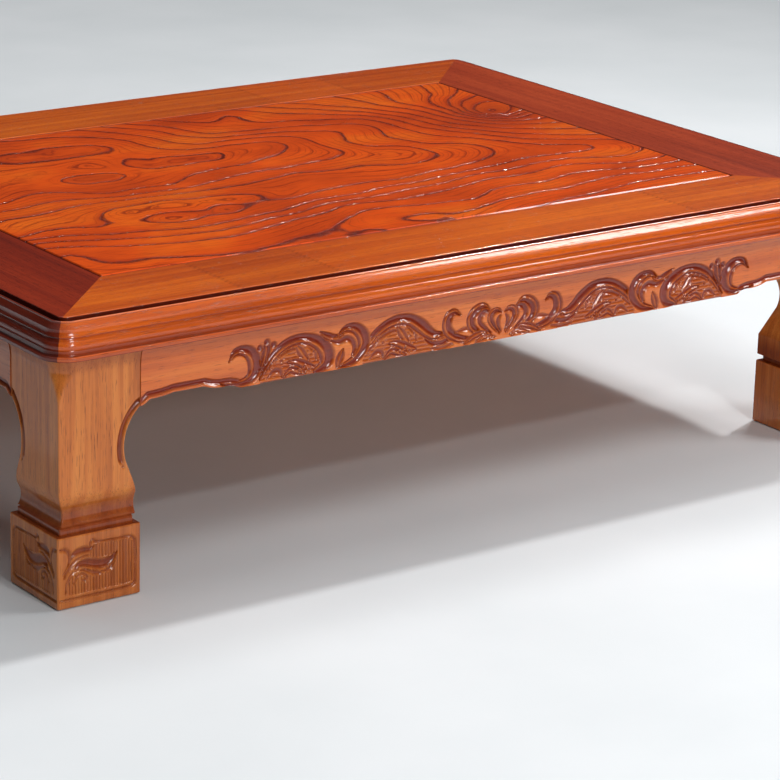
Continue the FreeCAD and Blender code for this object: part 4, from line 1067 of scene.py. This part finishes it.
CORNERS = {"front_left": (-1, -1), "front_right": (1, -1), "back_left": (-1, 1), "back_right": (1, 1)}
FINE_POINTS = 116
COARSE_POINTS = 86
for corner, signs in CORNERS.items():
    leg, painted_shade = leg_skin(FINE_POINTS if corner == "front_left" else COARSE_POINTS)
    piece = make_piece(f"{corner}_carved_leg", f"{corner}_leg", cornered(leg, *signs), leg_wood)
    give_values(piece, "painted_shade", painted_shade)

# Materials of the CAD nodes that are kept, by a part of the name. The first one that fits counts.
NODE_FINISHES = {
    "screws": steel,
    "hanger": steel,
    "front_rail": front_rail_wood,
    "back_rail": back_rail_wood,
    "left_rail": shaded_left_rail_wood,
    "right_rail": reflecting_right_rail_wood,
    "mitre_splines": block_wood,
    "top_buttons": block_wood,
    "batten": batten_wood,
    "corner_block": block_wood,
    "foot_pad": pad_felt,
}
for name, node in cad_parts.items():
    if node.hide_render:
        continue
    for part, material in NODE_FINISHES.items():
        if part in name:
            node.data.materials.clear()
            node.data.materials.append(material)
            break


# Floor, light and camera

FLOOR_HALF = 15.0


def make_floor():
    corners = [(x * FLOOR_HALF, y * FLOOR_HALF, 0) for x, y in ((-1, -1), (1, -1), (1, 1), (-1, 1))]
    mesh = bpy.data.meshes.new("floor")
    mesh.from_pydata(corners, [], [(0, 1, 2, 3)])
    floor = put("floor", mesh)
    finish = Finish("floor")
    tone = finish.ramp(finish.noise(3.0, 4.0), ((0.3, paint(214, 218, 220)), (0.7, paint(222, 225, 227))))
    finish.fill(finish.shader, {"Base Color": tone, "Roughness": 0.7})
    mesh.materials.append(finish.material)


def aim(back):
    """A frame whose third axis is back and whose second axis points up."""
    third = np.array(back, float) / np.linalg.norm(back)
    first = np.cross((0, 0, 1), third)
    first /= np.linalg.norm(first)
    return first, np.cross(third, first), third


def placed(first, second, third, spot):
    rows = [list(row) for row in np.column_stack((first, second, third, spot))]
    return Matrix(rows + [[0, 0, 0, 1]])


def hang(lamp, spot, target):
    """Put a lamp at a spot, turned towards a target."""
    put(lamp.name, lamp).matrix_world = placed(*aim(np.array(spot) - np.array(target)), spot)


def make_softbox(name, spot, target, width, height, power):
    lamp = bpy.data.lights.new(name, "AREA")
    lamp.shape = "RECTANGLE"
    lamp.size = width
    lamp.size_y = height
    lamp.energy = power
    hang(lamp, spot, target)


def make_key(spot, degrees, power):
    """Even light over table and floor, from the right and a little from behind."""
    lamp = bpy.data.lights.new("key", "SUN")
    lamp.angle = math.radians(degrees)
    lamp.energy = power
    hang(lamp, spot, (0, 0, 0))


# How bright the room is by the upward part of the direction: dim walls and a paler ceiling.
ROOM = ((0.0, (0.012, 0.012, 0.012, 1.0)), (0.45, (0.03, 0.03, 0.03, 1.0)),
        (0.8, (0.2, 0.21, 0.22, 1.0)), (1.0, (0.3, 0.31, 0.32, 1.0)))


def make_world():
    world = bpy.data.worlds.new("studio")
    bpy.context.scene.world = world
    world.use_nodes = True
    nodes, links = world.node_tree.nodes, world.node_tree.links
    direction = nodes.new("ShaderNodeTexCoord")
    parts = nodes.new("ShaderNodeSeparateXYZ")
    room = nodes.new("ShaderNodeValToRGB")
    fill_ramp(room.color_ramp, ROOM)
    links.new(direction.outputs["Generated"], parts.inputs[0])
    links.new(parts.outputs["Z"], room.inputs[0])
    links.new(room.outputs[0], nodes["Background"].inputs["Color"])


CAMERA_AZIMUTH = math.radians(-36.23)
CAMERA_ELEVATION = math.radians(17.74)
CAMERA_ROLL = math.radians(1.57)
CAMERA_SPOT = (-2.191, -3.212, 1.2756)
CAMERA_LENS = 148.0


def make_camera():
    camera = bpy.data.cameras.new("camera")
    camera.sensor_width = 36.0
    camera.lens = CAMERA_LENS
    camera.clip_end = 60.0
    holder = put("camera", camera)
    flat = math.cos(CAMERA_ELEVATION)
    back = (math.sin(CAMERA_AZIMUTH) * flat, -math.cos(CAMERA_AZIMUTH) * flat, math.sin(CAMERA_ELEVATION))
    right, up, third = aim(back)
    rolled_right = math.cos(CAMERA_ROLL) * right + math.sin(CAMERA_ROLL) * up
    rolled_up = math.cos(CAMERA_ROLL) * up - math.sin(CAMERA_ROLL) * right
    holder.matrix_world = placed(rolled_right, rolled_up, third, CAMERA_SPOT)
    bpy.context.scene.camera = holder


make_floor()
make_world()
make_key((1.87, 0.75, 2.4), degrees=3.5, power=1.4)
make_softbox("front_softbox", (-0.6, -5.0, 1.6), (0, 0, 0.2), width=1.2, height=1.0, power=90)
make_softbox("glint_softbox", (-0.3, -2.8, 2.3), (0, -0.4, 0.2), width=0.14, height=0.14, power=14)
make_softbox("right_softbox", (1.55, -1.36, 1.83), (0.25, -0.44, 0.31), width=0.85, height=0.5, power=21)
make_softbox("back_softbox", (1.8, 0.6, 1.95), (0.2, 0.0, 0.32), width=0.45, height=0.45, power=18)
make_softbox("overhead", (0.0, 0.6, 3.4), (0, 0.2, 0), width=2.6, height=2.6, power=29)
make_camera()
bpy.context.scene.view_settings.view_transform = "Standard"
